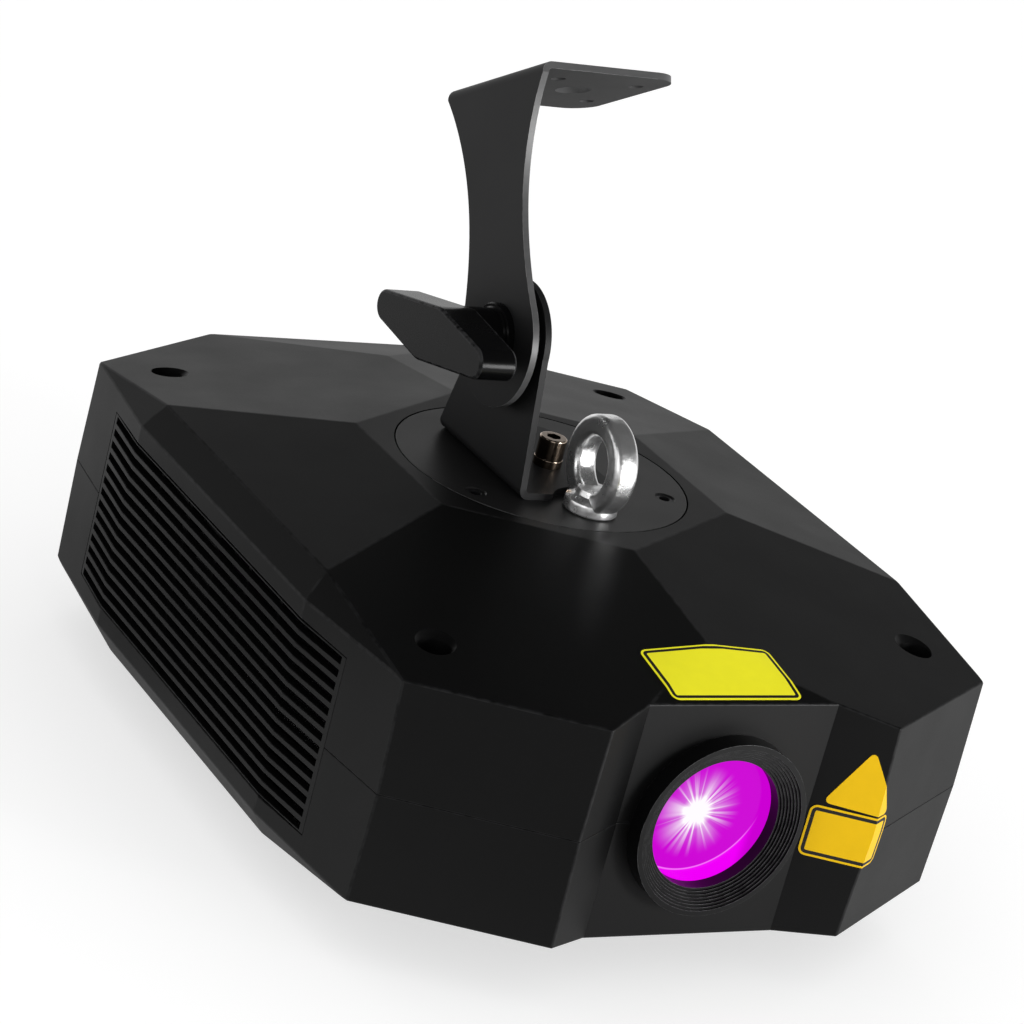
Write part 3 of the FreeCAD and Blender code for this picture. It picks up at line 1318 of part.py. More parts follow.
def build_mirrors():
    """Two combining mirrors and the fold mirror on the beam line, each on its post."""
    posts = []
    mirrors = []
    for name, y, degrees in (("green_mirror", "-green_beam_y", -45), ("blue_mirror", "-blue_beam_y", -45),
                             ("fold_mirror", "-scan_y", 45)):
        rise = "beam_rise - mirror_height / 2"
        posts.append(turned_block(name + "_post", ("mirror_mount_depth", "mirror_width", rise),
                                  ("-beam_line_x", y, "plate_top + (%s) / 2" % rise), degrees))
        mirrors.append(turned_block(name, ("mirror_thickness", "mirror_width", "mirror_height"),
                                    ("-beam_line_x", y, "beam_z"), degrees))
    node("mirror_posts", group("mirror_post_group", posts))
    node("beam_mirrors", group("mirror_group", mirrors))


def build_scanners():
    """Two galvanometer scanners in one block: the lower turns about Y, the upper about X."""
    grip = "2 * (galvo_radius + galvo_wall)"
    low_top = "beam_z + galvo_radius + galvo_wall"
    high_top = "parting + galvo_radius + galvo_wall"
    low = block("scan_grip_low", (grip, "galvo_grip_length", low_top + " - plate_top"),
                ("0", "-scan_y + galvo_setback + galvo_grip_length / 2", "(%s + plate_top) / 2" % low_top))
    high = block("scan_grip_high", ("galvo_grip_length", grip, high_top + " - plate_top"),
                 ("galvo_setback + galvo_grip_length / 2", "-scan_y", "(%s + plate_top) / 2" % high_top))
    slab = block("scan_slab", ("galvo_setback + galvo_grip_length + galvo_radius + galvo_wall",
                               "galvo_setback + galvo_grip_length + galvo_radius + galvo_wall",
                               "galvo_base_thickness"),
                 ("(galvo_setback + galvo_grip_length - galvo_radius - galvo_wall) / 2",
                  "-scan_y + (galvo_setback + galvo_grip_length - galvo_radius - galvo_wall) / 2",
                  "plate_top + galvo_base_thickness / 2"))
    tools = []
    for name, axis, start in (("x", "Y", ("0", "-scan_y + galvo_setback", "beam_z")),
                              ("y", "X", ("galvo_setback", "-scan_y", "parting"))):
        tools.append(rod(name + "_scan_bore", "galvo_radius + thread_clearance", "galvo_grip_length", start,
                         axis))
        node(name + "_scan_motor", ring(name + "_motor", "galvo_radius",
                                        "scan_shaft_radius + running_clearance",
                                        "galvo_length", start, axis))
        glass = block(name + "_scan_glass", ("scan_mirror_width", "scan_mirror_thickness",
                                             "scan_mirror_length"), ("0", "0", "0"))
        shaft = rod(name + "_scan_shaft", "scan_shaft_radius",
                    "galvo_setback + galvo_length - scan_mirror_length / 2",
                    ("0", "0", "scan_mirror_length / 2"))
        mirror = fuse(name + "_scan_solid", glass, shaft)
        place(mirror, along(start, axis, "-galvo_setback"), AXIS_TURN[axis] * Rotation(Vector(0, 0, 1), 45))
        node(name + "_scan_mirror", mirror)
    node("scanner_block", cut("scanner_block_cut", fuse("scanner_block_solid", low, high, slab), *tools))


def build_scanner_board():
    """Scanner driver board over the side lasers, on four standoffs."""
    centre_x = "laser_length / 2 - side_laser_start_x"
    centre_y = "-(green_beam_y + blue_beam_y) / 2"
    length = "laser_length + 2 * scanner_board_margin"
    width = "blue_beam_y - green_beam_y + laser_width + 2 * scanner_board_margin"
    bottom = "plate_top + scanner_board_rise"
    board = block("scanner_board_plate", (length, width, "board_thickness"),
                  (centre_x, centre_y, bottom + " + board_thickness / 2"))
    chips = [block("scanner_chip_%d" % k, ("chip_size", "chip_size", "chip_height"),
                   ("%s + %d * 2 * chip_size" % (centre_x, k), centre_y,
                    bottom + " + board_thickness + chip_height / 2"))
             for k in (-1, 0, 1)]
    node("scanner_board", fuse("scanner_board_solid", board, *chips))
    posts = [rod("scanner_standoff_%d" % k, "standoff_radius", "scanner_board_rise",
                 ("%s + %d * (%s - scanner_board_margin) / 2" % (centre_x, i, length),
                  "%s + %d * (%s - scanner_board_margin) / 2" % (centre_y, j, width), "plate_top"))
             for k, (i, j) in enumerate(CORNERS)]
    node("scanner_standoffs", group("scanner_standoff_group", posts))


def build_heat_sink():
    """Finned heat sink on the optical plate beside the red module."""
    centre = ("heat_sink_x + heat_sink_width / 2", "heat_sink_y + heat_sink_length / 2")
    pieces = [block("heat_sink_foot", ("heat_sink_width", "heat_sink_length", "heat_sink_base"),
                    (*centre, "plate_top + heat_sink_base / 2"))]
    for k in range(HEAT_SINK_FIN_COUNT):
        share = k / (HEAT_SINK_FIN_COUNT - 1)
        x = "heat_sink_x + heat_sink_fin / 2 + %.6f * (heat_sink_width - heat_sink_fin)" % share
        pieces.append(block("heat_sink_fin_%d" % k, ("heat_sink_fin", "heat_sink_length",
                                                     "heat_sink_height"),
                            (x, centre[1], "plate_top + heat_sink_height / 2")))
    node("heat_sink", fuse("heat_sink_solid", *pieces))


def build_connectors():
    """Rear panel with everything that is fitted in it."""
    build_rear_panel()
    contacts = build_dmx_sockets() + build_power_inlet() + build_interlock()
    node("socket_contacts", group("socket_contact_group", contacts))
    build_key_switch()
    build_menu()
    build_control_board()


def write_parts():
    """Check every object of the document, then write each sub-part to its own file."""
    doc.recompute()
    for piece in doc.Objects:
        faults = {"Invalid", "Error"}.intersection(piece.State)
        if faults:
            raise RuntimeError("%s is %s: %s" % (piece.Name, ", ".join(sorted(faults)),
                                                 piece.getStatusString()))
    for piece in nodes:
        if piece.Shape.isNull() or not piece.Shape.isValid() or not piece.Shape.Solids:
            raise RuntimeError("%s has no sound shape" % piece.Label)
    os.makedirs("parts", exist_ok=True)
    for piece in nodes:
        piece.Shape.exportStep("parts/%s.step" % piece.Label)
        print("%-20s %3d solid(s) %12.1f mm3" % (piece.Label, len(piece.Shape.Solids), piece.Shape.Volume))


fill(sizes, DRIVING_SIZES)
fill(places, {alias: "=" + bound(formula, inside_places=True) for alias, formula in WORKED_OUT.items()})
build_upper_shell()
build_lower_shell()
build_case_screws()
build_feet()
build_mounting_disc()
build_safety_eye()
build_lower_bracket()
build_clamp_hardware()
build_upper_bracket()
build_pivot()
build_lens()
build_vents()
build_connectors()
build_optical_plate()
build_lasers()
build_mirrors()
build_scanners()
build_scanner_board()
build_heat_sink()
write_parts()
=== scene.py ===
"""Looks of a stage laser projector: faceted black case, lens, tilt bracket and what is behind the vents."""

import json
import logging
import math
from dataclasses import dataclass
from enum import Enum
from typing import Callable, Dict, List, Optional, Sequence, Tuple, Union

import bmesh
import bpy
from mathutils import Matrix, Vector

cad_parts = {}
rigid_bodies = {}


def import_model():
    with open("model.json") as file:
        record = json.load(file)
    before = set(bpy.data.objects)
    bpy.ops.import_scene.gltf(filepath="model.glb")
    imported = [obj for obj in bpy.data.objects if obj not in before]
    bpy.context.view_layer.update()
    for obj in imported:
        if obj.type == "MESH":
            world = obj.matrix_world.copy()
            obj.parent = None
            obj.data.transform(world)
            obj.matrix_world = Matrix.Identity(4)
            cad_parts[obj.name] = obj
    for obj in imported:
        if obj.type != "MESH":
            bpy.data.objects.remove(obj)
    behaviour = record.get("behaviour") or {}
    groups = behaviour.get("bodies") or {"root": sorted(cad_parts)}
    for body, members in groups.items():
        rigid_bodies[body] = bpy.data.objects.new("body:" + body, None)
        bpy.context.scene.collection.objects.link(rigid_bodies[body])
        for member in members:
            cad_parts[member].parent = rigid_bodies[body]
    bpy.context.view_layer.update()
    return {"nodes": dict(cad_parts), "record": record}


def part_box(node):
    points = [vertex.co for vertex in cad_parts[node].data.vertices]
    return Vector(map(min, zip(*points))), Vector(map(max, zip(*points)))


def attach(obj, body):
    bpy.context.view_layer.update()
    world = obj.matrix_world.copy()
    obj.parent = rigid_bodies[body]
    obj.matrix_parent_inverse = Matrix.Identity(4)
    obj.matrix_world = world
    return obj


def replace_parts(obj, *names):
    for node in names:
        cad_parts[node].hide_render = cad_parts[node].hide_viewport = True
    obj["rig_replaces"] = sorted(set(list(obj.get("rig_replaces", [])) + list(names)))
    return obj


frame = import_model()

log = logging.getLogger("projector")

MM = 0.001
EDGE_LAYER = "edge"
FLAT_ANGLE = math.radians(0.5)
MERGE_DISTANCE = 0.004 * MM
FOLD_DISTANCE = 0.0001 * MM
SHARP_ANGLE = math.radians(24)
SIN_30 = 0.5
COS_30 = math.sqrt(0.75)
RIGHT = Vector((1, 0, 0))
REAR = Vector((0, 1, 0))
UP = Vector((0, 0, 1))
NUMBER_OPERATIONS = ("LENGTH", "DISTANCE", "DOT_PRODUCT")
# A Mix node's colour sockets, whose names are shared by its sockets for numbers and vectors.
MIX_SHARE, MIX_FIRST, MIX_SECOND, MIX_RESULT = 0, 6, 7, 2

Colour = Tuple[float, float, float]
Point = Tuple[float, float, float]
Pair = Tuple[float, float]
Outline = Sequence[Pair]
EdgeTest = Callable[[bmesh.types.BMEdge], bool]
FaceTest = Callable[[bmesh.types.BMFace], bool]
Source = Union[bpy.types.NodeSocket, float, Sequence[float]]


class Grain(Enum):
    """Surface textures: noise cells per metre, and how far they are stretched along X, Y and Z."""

    MOULDED = (1500.0, (1.0, 1.0, 1.0))
    POWDER = (2300.0, (1.0, 1.0, 1.0))
    BRUSHED = (700.0, (0.12, 1.0, 1.0))
    TURNED = (900.0, (1.0, 0.1, 1.0))
    CAST = (210.0, (1.0, 1.0, 1.0))
    POLISHED = (60.0, (1.0, 1.0, 1.0))


@dataclass(frozen=True)
class Finish:
    """One surface finish: its colours, its gloss and its texture."""

    name: str
    base: Colour
    # The lighter colour of the bevels: partly worn, partly a painted highlight.
    edge: Colour
    roughness: float
    specular: float = 0.5
    metallic: float = 0.0
    grain: Grain = Grain.MOULDED
    mottle: float = 0.15
    spread: float = 0.1
    bump: float = 0.15
    bump_depth: float = 0.05
    coat: float = 0.0

    def material(self, group: bpy.types.ShaderNodeTree) -> bpy.types.Material:
        """Makes the material of this finish.

        Args:
            group: The shared texture group.

        Returns:
            The new material.
        """
        material = bpy.data.materials.new(self.name)
        material.use_nodes = True
        wires = Wiring(material.node_tree)
        shader = material.node_tree.nodes["Principled BSDF"]
        cells, stretch = self.grain.value
        texture = wires.group(group, {
            "Base": (*self.base, 1.0), "Edge": (*self.edge, 1.0), "Mottle": self.mottle,
            "Roughness": self.roughness, "Spread": self.spread, "Cells": cells, "Stretch": stretch})
        bump = wires.node("ShaderNodeBump")
        bump.inputs["Strength"].default_value = self.bump
        bump.inputs["Distance"].default_value = self.bump_depth * MM
        wires.join(texture.outputs["Height"], bump.inputs["Height"])
        wires.join(texture.outputs["Color"], shader.inputs["Base Color"])
        wires.join(texture.outputs["Roughness"], shader.inputs["Roughness"])
        wires.join(bump.outputs["Normal"], shader.inputs["Normal"])
        shader.inputs["Metallic"].default_value = self.metallic
        shader.inputs["Specular IOR Level"].default_value = self.specular
        shader.inputs["Coat Weight"].default_value = self.coat
        return material


class Wiring:
    """Adds nodes to a node tree and joins them."""

    def __init__(self, tree: bpy.types.NodeTree) -> None:
        """Keeps the tree that the nodes go into."""
        self.tree = tree

    def node(self, kind: str, **settings: object) -> bpy.types.Node:
        """Adds a node.

        Args:
            kind: The node's type name.
            settings: Attributes to set on it.

        Returns:
            The new node.
        """
        made = self.tree.nodes.new(kind)
        for name, value in settings.items():
            setattr(made, name, value)
        return made

    def join(self, source: Source, socket: bpy.types.NodeSocket) -> None:
        """Links a socket to another, or sets its value.

        Args:
            source: The socket to link from, or the value.
            socket: The input that gets it.
        """
        if isinstance(source, bpy.types.NodeSocket):
            self.tree.links.new(source, socket)
        else:
            socket.default_value = source

    def filled(self, kind: str, operation: str, sources: Sequence[Source]) -> bpy.types.Node:
        """Adds a node that works something out.

        Args:
            kind: The node's type name.
            operation: What it works out.
            sources: What its inputs get, in order.

        Returns:
            The new node.
        """
        made = self.node(kind, operation=operation)
        for source, socket in zip(sources, made.inputs):
            self.join(source, socket)
        return made

    def maths(self, operation: str, *sources: Source) -> bpy.types.NodeSocket:
        """A Math node's result for the given inputs."""
        return self.filled("ShaderNodeMath", operation, sources).outputs[0]

    def vector(self, operation: str, *sources: Source) -> bpy.types.NodeSocket:
        """A Vector Math node's result: a number for the number operations, a vector for the rest."""
        made = self.filled("ShaderNodeVectorMath", operation, sources)
        return made.outputs["Value" if operation in NUMBER_OPERATIONS else "Vector"]

    def scaled(self, vector: Source, factor: Source) -> bpy.types.NodeSocket:
        """Multiplies a vector or colour by a number.

        Args:
            vector: The vector or colour.
            factor: The number.

        Returns:
            The product.
        """
        made = self.node("ShaderNodeVectorMath", operation="SCALE")
        self.join(vector, made.inputs[0])
        self.join(factor, made.inputs["Scale"])
        return made.outputs[0]

    def split(self, vector: Source) -> List[bpy.types.NodeSocket]:
        """Splits a vector.

        Args:
            vector: The vector.

        Returns:
            Its X, Y and Z.
        """
        made = self.node("ShaderNodeSeparateXYZ")
        self.join(vector, made.inputs[0])
        return list(made.outputs)

    def noise(self, vector: Source, cells: Source, detail: float) -> bpy.types.NodeSocket:
        """Adds a noise texture.

        Args:
            vector: Where it is read.
            cells: Its scale.
            detail: How many finer layers it has.

        Returns:
            Its value.
        """
        made = self.node("ShaderNodeTexNoise")
        self.join(vector, made.inputs["Vector"])
        self.join(cells, made.inputs["Scale"])
        made.inputs["Detail"].default_value = detail
        return made.outputs[0]

    def ramp(self, value: Source, low: float, high: float, start: float = 0.0, end: float = 1.0
             ) -> bpy.types.NodeSocket:
        """A smooth step between two levels.

        Args:
            value: What it follows.
            low: The value at which the step begins.
            high: The value at which it ends.
            start: The level up to low.
            end: The level from high on.

        Returns:
            The level.
        """
        made = self.node("ShaderNodeMapRange", interpolation_type="SMOOTHSTEP")
        for source, name in ((value, "Value"), (low, "From Min"), (high, "From Max"), (start, "To Min"),
                             (end, "To Max")):
            self.join(source, made.inputs[name])
        return made.outputs[0]

    def mixed(self, share: Source, first: Source, second: Source) -> bpy.types.NodeSocket:
        """Mixes two colours.

        Args:
            share: The second colour's share.
            first: The first colour.
            second: The second colour.

        Returns:
            The mix.
        """
        made = self.node("ShaderNodeMix", data_type="RGBA")
        for source, index in ((share, MIX_SHARE), (first, MIX_FIRST), (second, MIX_SECOND)):
            self.join(source, made.inputs[index])
        return made.outputs[MIX_RESULT]

    def place(self) -> bpy.types.NodeSocket:
        """The object coordinates."""
        return self.node("ShaderNodeTexCoord").outputs["Object"]

    def group(self, tree: bpy.types.ShaderNodeTree, values: Dict[str, Source]) -> bpy.types.Node:
        """Places a node group with its own values.

        Args:
            tree: The group.
            values: What its inputs get, by name.

        Returns:
            The new node.
        """
        made = self.node("ShaderNodeGroup")
        made.node_tree = tree
        for name, value in values.items():
            self.join(value, made.inputs[name])
        return made


def new_group(name: str, inputs: Dict[str, str], outputs: Dict[str, str]) -> Tuple[Wiring, Dict, Dict]:
    """Starts a shader node group.

    Args:
        name: The group's name.
        inputs: Socket type of each input.
        outputs: Socket type of each output.

    Returns:
        Its wiring, the inputs' inner sockets and the outputs' inner sockets, by name.
    """
    tree = bpy.data.node_groups.new(name, "ShaderNodeTree")
    for label, kind in inputs.items():
        tree.interface.new_socket(label, in_out="INPUT", socket_type="NodeSocket" + kind)
    for label, kind in outputs.items():
        tree.interface.new_socket(label, in_out="OUTPUT", socket_type="NodeSocket" + kind)
    wires = Wiring(tree)
    entry = wires.node("NodeGroupInput")
    end = wires.node("NodeGroupOutput")
    return wires, {n: entry.outputs[n] for n in inputs}, {n: end.inputs[n] for n in outputs}


def surface_group() -> bpy.types.ShaderNodeTree:
    """The texture that all finishes share: fine grain, slow mottling, and lighter edges that are partly worn
    and partly a painted highlight.

    Returns:
        The group.
    """
    wires, given, wanted = new_group(
        "surface_texture",
        {"Base": "Color", "Edge": "Color", "Mottle": "Float", "Roughness": "Float", "Spread": "Float",
         "Cells": "Float", "Stretch": "Vector"},
        {"Color": "Color", "Roughness": "Float", "Height": "Float"})
    grain_detail, grain_share = 3.0, 0.6
    slow_cells, slow_detail = 38.0, 4.0
    wear_and_highlight_cells, wear_and_highlight_detail, wear_and_highlight_from, wear_and_highlight_to = 330.0, 3.0, 0.3, 0.62
    noise_middle, noise_gain = 0.5, 2.0
    place = wires.place()
    grain = wires.noise(wires.vector("MULTIPLY", place, given["Stretch"]), given["Cells"], grain_detail)
    slow = wires.noise(place, slow_cells, slow_detail)
    wear_and_highlight = wires.ramp(wires.noise(place, wear_and_highlight_cells, wear_and_highlight_detail), wear_and_highlight_from, wear_and_highlight_to)
    fine = wires.maths("SUBTRACT", grain, noise_middle)
    broad = wires.maths("SUBTRACT", slow, noise_middle)
    both = wires.maths("MULTIPLY_ADD", fine, grain_share, broad)
    tone = wires.maths("MULTIPLY_ADD", wires.maths("MULTIPLY", both, noise_gain), given["Mottle"], 1.0)
    # The bevels take the lighter edge colour in patches: worn paint, and a painted highlight along the
    # edges.
    marked = wires.node("ShaderNodeAttribute", attribute_name=EDGE_LAYER).outputs["Fac"]
    rubbed_and_highlit = wires.maths("MULTIPLY", marked, wear_and_highlight)
    wires.join(wires.mixed(rubbed_and_highlit, wires.scaled(given["Base"], tone), given["Edge"]), wanted["Color"])
    wires.join(wires.maths("MULTIPLY_ADD", both, given["Spread"], given["Roughness"]), wanted["Roughness"])
    wires.join(grain, wanted["Height"])
    return wires.tree


# Each finish's second colour goes on the bevels: partly worn, partly a painted highlight.
FINISHES: Dict[str, Finish] = {
    "case_plastic": Finish("satin_black_case", (0.0020, 0.0020, 0.0021), (0.011, 0.011, 0.0115), 0.45,
                           specular=0.2, mottle=0.16, spread=0.1, bump=0.12, bump_depth=0.04),
    "vent_plastic": Finish("satin_black_vent", (0.0018, 0.0018, 0.0019), (0.010, 0.010, 0.0105), 0.45,
                           specular=0.24, mottle=0.16),
    "foot_rubber": Finish("black_rubber", (0.012, 0.012, 0.012), (0.03, 0.03, 0.03), 0.8, specular=0.25,
                          grain=Grain.CAST, mottle=0.25, bump=0.2),
    "black_steel": Finish("black_oxide_screw", (0.012, 0.012, 0.013), (0.06, 0.06, 0.06), 0.35, metallic=0.5,
                          grain=Grain.POWDER, mottle=0.3),
    "disc_paint": Finish("satin_black_disc", (0.006, 0.0058, 0.0060), (0.04, 0.04, 0.041), 0.45,
                         specular=0.52, grain=Grain.POWDER, mottle=0.18, bump=0.15),
    "bracket_paint": Finish("powder_coated_bracket", (0.0115, 0.0115, 0.012), (0.1, 0.1, 0.102), 0.5,
                            specular=0.22, grain=Grain.POWDER, mottle=0.2, bump=0.22, bump_depth=0.06),
    "bracket_rim": Finish("cut_sheet_edge", (0.075, 0.075, 0.076), (0.34, 0.34, 0.34), 0.4, specular=0.55,
                          grain=Grain.BRUSHED, mottle=0.3, bump=0.25),
    "eye_chrome": Finish("bright_cast_eye", (0.92, 0.92, 0.92), (0.95, 0.95, 0.95), 0.29, metallic=0.93,
                         grain=Grain.CAST, mottle=0.2, spread=0.2, bump=0.36, bump_depth=1.0),
    "nickel_steel": Finish("warm_nickel", (0.24, 0.185, 0.14), (0.62, 0.5, 0.4), 0.17, metallic=1.0,
                           grain=Grain.TURNED, mottle=0.12, bump=0.1),
    "zinc_steel": Finish("zinc_plate", (0.55, 0.56, 0.56), (0.7, 0.7, 0.7), 0.35, metallic=1.0,
                         grain=Grain.CAST, mottle=0.15),
    "friction_fibre": Finish("black_fibre", (0.008, 0.008, 0.008), (0.02, 0.02, 0.02), 0.85, specular=0.2,
                             grain=Grain.CAST, mottle=0.35, bump=0.3),
    "knob_plastic": Finish("satin_black_knob", (0.003, 0.003, 0.0032), (0.03, 0.03, 0.031), 0.26,
                           specular=0.13, mottle=0.15, bump=0.1),
    "lens_anodised": Finish("black_anodised", (0.0035, 0.0035, 0.0037), (0.07, 0.07, 0.072), 0.36,
                            specular=0.2, grain=Grain.TURNED, mottle=0.15, bump=0.08),
    "gasket_rubber": Finish("gasket_black", (0.012, 0.012, 0.012), (0.02, 0.02, 0.02), 0.8, specular=0.2,
                            grain=Grain.CAST, mottle=0.2),
    "fan_plastic": Finish("fan_black", (0.010, 0.010, 0.0105), (0.03, 0.03, 0.03), 0.4,
                          specular=0.35, mottle=0.15),
    "panel_paint": Finish("panel_powder_coat", (0.012, 0.012, 0.0125), (0.05, 0.05, 0.05), 0.55,
                          specular=0.25, grain=Grain.POWDER, mottle=0.2, bump=0.25),
    "socket_metal": Finish("die_cast_black", (0.022, 0.022, 0.023), (0.12, 0.12, 0.12), 0.36, metallic=0.5,
                           grain=Grain.CAST, mottle=0.2),
    "socket_plastic": Finish("glossy_black", (0.010, 0.010, 0.010), (0.04, 0.04, 0.04), 0.24, specular=0.45,
                             mottle=0.12, bump=0.06),
    "pin_brass": Finish("brass_contact", (0.72, 0.5, 0.2), (0.85, 0.68, 0.35), 0.25, metallic=1.0,
                        grain=Grain.TURNED, mottle=0.12),
    "switch_chrome": Finish("bright_switch", (0.74, 0.74, 0.75), (0.85, 0.85, 0.85), 0.16, metallic=1.0,
                            grain=Grain.POLISHED, mottle=0.06),
    "display_plastic": Finish("tinted_window", (0.006, 0.008, 0.011), (0.02, 0.02, 0.02), 0.1, specular=0.5,
                              grain=Grain.POLISHED, mottle=0.1, bump=0.03, coat=0.5),
    "button_plastic": Finish("grey_button", (0.075, 0.075, 0.078), (0.14, 0.14, 0.14), 0.42, specular=0.4,
                             mottle=0.12),
    "circuit_board": Finish("green_board", (0.012, 0.085, 0.03), (0.06, 0.16, 0.07), 0.3, specular=0.45,
                            grain=Grain.CAST, mottle=0.3, spread=0.15, coat=0.2),
    "plain_aluminium": Finish("milled_aluminium", (0.62, 0.62, 0.63), (0.75, 0.75, 0.76), 0.34, metallic=1.0,
                              grain=Grain.BRUSHED, mottle=0.12, spread=0.16, bump=0.12),
    "laser_anodised": Finish("module_black", (0.022, 0.022, 0.025), (0.09, 0.09, 0.095), 0.36, metallic=0.4,
                             grain=Grain.BRUSHED, mottle=0.18),
    "mirror_coat": Finish("mirror_coat", (0.9, 0.9, 0.92), (0.9, 0.9, 0.92), 0.05, metallic=1.0,
                          grain=Grain.POLISHED, mottle=0.03, spread=0.04, bump=0.02),
    "lemon_foil": Finish("lemon_sticker", (0.92, 0.86, 0.008), (0.92, 0.88, 0.06), 0.42, specular=0.2,
                         grain=Grain.CAST, mottle=0.06, bump=0.06),
    "amber_foil": Finish("amber_sticker", (0.98, 0.60, 0.006), (0.98, 0.66, 0.06), 0.42, specular=0.2,
                         grain=Grain.CAST, mottle=0.06, bump=0.06),
    "ink": Finish("printed_line", (0.014, 0.013, 0.012), (0.03, 0.03, 0.03), 0.5, specular=0.3, mottle=0.2),
}


@dataclass(frozen=True)
class Cut:
    """One round of rounded edges: how wide, in how many segments, and which edges."""

    width: float
    segments: int
    test: EdgeTest


class Workshop:
    """The frame's nodes with their bodies and slots, the materials, and the ways to add a piece."""

    def __init__(self) -> None:
        """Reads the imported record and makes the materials."""
        record = frame["record"]
        self.body_of = {n: b for b, names in record["behaviour"]["bodies"].items() for n in names}
        self.slot_of = {s["node"]: s["material_slot"] for s in record["subparts"]}
        group = surface_group()
        self.materials = {slot: finish.material(group) for slot, finish in FINISHES.items()}
        self.materials["lens_glass"] = LitGlass().material()

    def dress_node(self, node: str) -> None:
        """Gives a carried-over node the material of its slot.

        Args:
            node: The node.
        """
        mesh = frame["nodes"][node].data
        mesh.materials.clear()
        mesh.materials.append(self.materials[self.slot_of[node]])
        log.info("node %s wears %s", node, self.slot_of[node])

    def add(self, bm: bmesh.types.BMesh, name: str, body: str, slots: Sequence[str],
            nodes: Sequence[str] = ()) -> bpy.types.Object:
        """Turns a finished bmesh into a piece.

        Args:
            bm: The mesh in the row frame, in metres. It is freed.
            name: The piece's name.
            body: The body that it rides on.
            slots: Materials by face index.
            nodes: The nodes that it stands for.

        Returns:
            The new object.
        """
        for face in bm.faces:
            face.smooth = True
        for edge in bm.edges:
            edge.smooth = len(edge.link_faces) == 2 and edge.calc_face_angle(0.0) < SHARP_ANGLE
        mesh = bpy.data.meshes.new(name)
        bm.to_mesh(mesh)
        bm.free()
        for slot in slots:
            mesh.materials.append(self.materials[slot])
        piece = bpy.data.objects.new(name, mesh)
        bpy.context.scene.collection.objects.link(piece)
        weighted = piece.modifiers.new("weighted", "WEIGHTED_NORMAL")
        weighted.keep_sharp = True
        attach(piece, body)
        known = set(self.slot_of.values())
        slots[0] if slots[0] in known else self.slot_of[nodes[0]] if nodes else "case_plastic"
        if nodes:
            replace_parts(piece, *nodes)
        log.info("piece %s on %s: %d faces", name, body, len(mesh.polygons))
        return piece

    def copied(self, node: str) -> bmesh.types.BMesh:
        """Copies a node's mesh, merged and with its flat faces whole.

        Args:
            node: The node.

        Returns:
            The copy.
        """
        bm = bmesh.new()
        bm.from_mesh(frame["nodes"][node].data)
        for face in bm.faces:
            face.material_index = 0
        bmesh.ops.remove_doubles(bm, verts=bm.verts, dist=MERGE_DISTANCE)
        bmesh.ops.dissolve_limit(bm, angle_limit=FLAT_ANGLE, verts=bm.verts, edges=bm.edges,
                                 use_dissolve_boundaries=False, delimit={"NORMAL"})
        return bm

    def rounded(self, node: str, name: str, cuts: Sequence[Cut],
                extra_slots: Sequence[str] = (), sort: Optional[FaceTest] = None) -> bpy.types.Object:
        """A copy of a node with rounded edges, which stands for it.

        Args:
            node: The node.
            name: The piece's name.
            cuts: Its bevels, in order.
            extra_slots: A second material, for the faces that sort picks.
            sort: Test for those faces.

        Returns:
            The piece.
        """
        bm = self.copied(node)
        if sort:
            bm.normal_update()
            for face in bm.faces:
                face.material_index = int(sort(face))
        for cut in cuts:
            bevel_edges(bm, cut)
        return self.add(bm, name, self.body_of[node], [self.slot_of[node], *extra_slots], [node])


def bevel_edges(bm: bmesh.types.BMesh, cut: Cut) -> None:
    """Rounds edges and marks the new faces for the lighter edge colour, which is partly worn and partly a
    painted highlight.

    Args:
        bm: The mesh.
        cut: Which edges, and how.
    """
    layer = bm.faces.layers.float.get(EDGE_LAYER) or bm.faces.layers.float.new(EDGE_LAYER)
    edges = [e for e in bm.edges if cut.test(e)]
    made = bmesh.ops.bevel(bm, geom=edges, offset=cut.width, offset_type="OFFSET", segments=cut.segments,
                           profile=0.5, affect="EDGES", material=-1, clamp_overlap=True)
    for face in made["faces"]:
        face[layer] = 1.0


def round_corners(bm: bmesh.types.BMesh, corners: List[bmesh.types.BMVert], reach: float,
                  segments: int) -> None:
    """Rounds corners of a flat face."""
    bmesh.ops.bevel(bm, geom=corners, offset=reach, offset_type="OFFSET", segments=segments, profile=0.5,
                    affect="VERTICES", material=-1, clamp_overlap=True)


def convex(least_degrees: float, least_area: float = 0.0) -> EdgeTest:
    """Makes a test for outward edges.

    Args:
        least_degrees: The angle that the edge has to stand out by.
        least_area: The area that both its faces have to have.

    Returns:
        The test.
    """
    def test(edge: bmesh.types.BMEdge) -> bool:
        """True where the edge stands out by enough.

        Args:
            edge: The edge.

        Returns:
            Whether it does.
        """
        if len(edge.link_faces) != 2:
            return False
        stands_out = math.degrees(edge.calc_face_angle_signed(0.0)) > least_degrees
        return stands_out and all(f.calc_area() > least_area for f in edge.link_faces)
    return test


def in_metres(outline: Outline) -> List[Pair]:
    """An outline in millimetres turned to metres."""
    return [(first * MM, second * MM) for first, second in outline]


def lathe(bm: bmesh.types.BMesh, profile: Outline, centre: Vector, axis: Vector, side: Vector,
          steps: int) -> None:
    """Spins an open profile, whose ends lie on the axis or meet, to a closed shell.

    Args:
        bm: The mesh that it is added to.
        profile: Radius and place along the axis of each point.
        centre: The point where the place along the axis is 0.
        axis: The axis' direction.
        side: A direction at right angles to it.
        steps: Divisions of the full turn.
    """
    points = [bm.verts.new(centre + side * radius + axis * along) for radius, along in profile]
    edges = [bm.edges.new(pair) for pair in zip(points, points[1:])]
    bmesh.ops.spin(bm, geom=points + edges, cent=centre, axis=axis, angle=math.tau, steps=steps,
                   use_merge=True)


def close_up(bm: bmesh.types.BMesh) -> None:
    """Merges doubled points and turns all faces outwards."""
    bmesh.ops.remove_doubles(bm, verts=bm.verts, dist=MERGE_DISTANCE)
    bmesh.ops.recalc_face_normals(bm, faces=bm.faces)


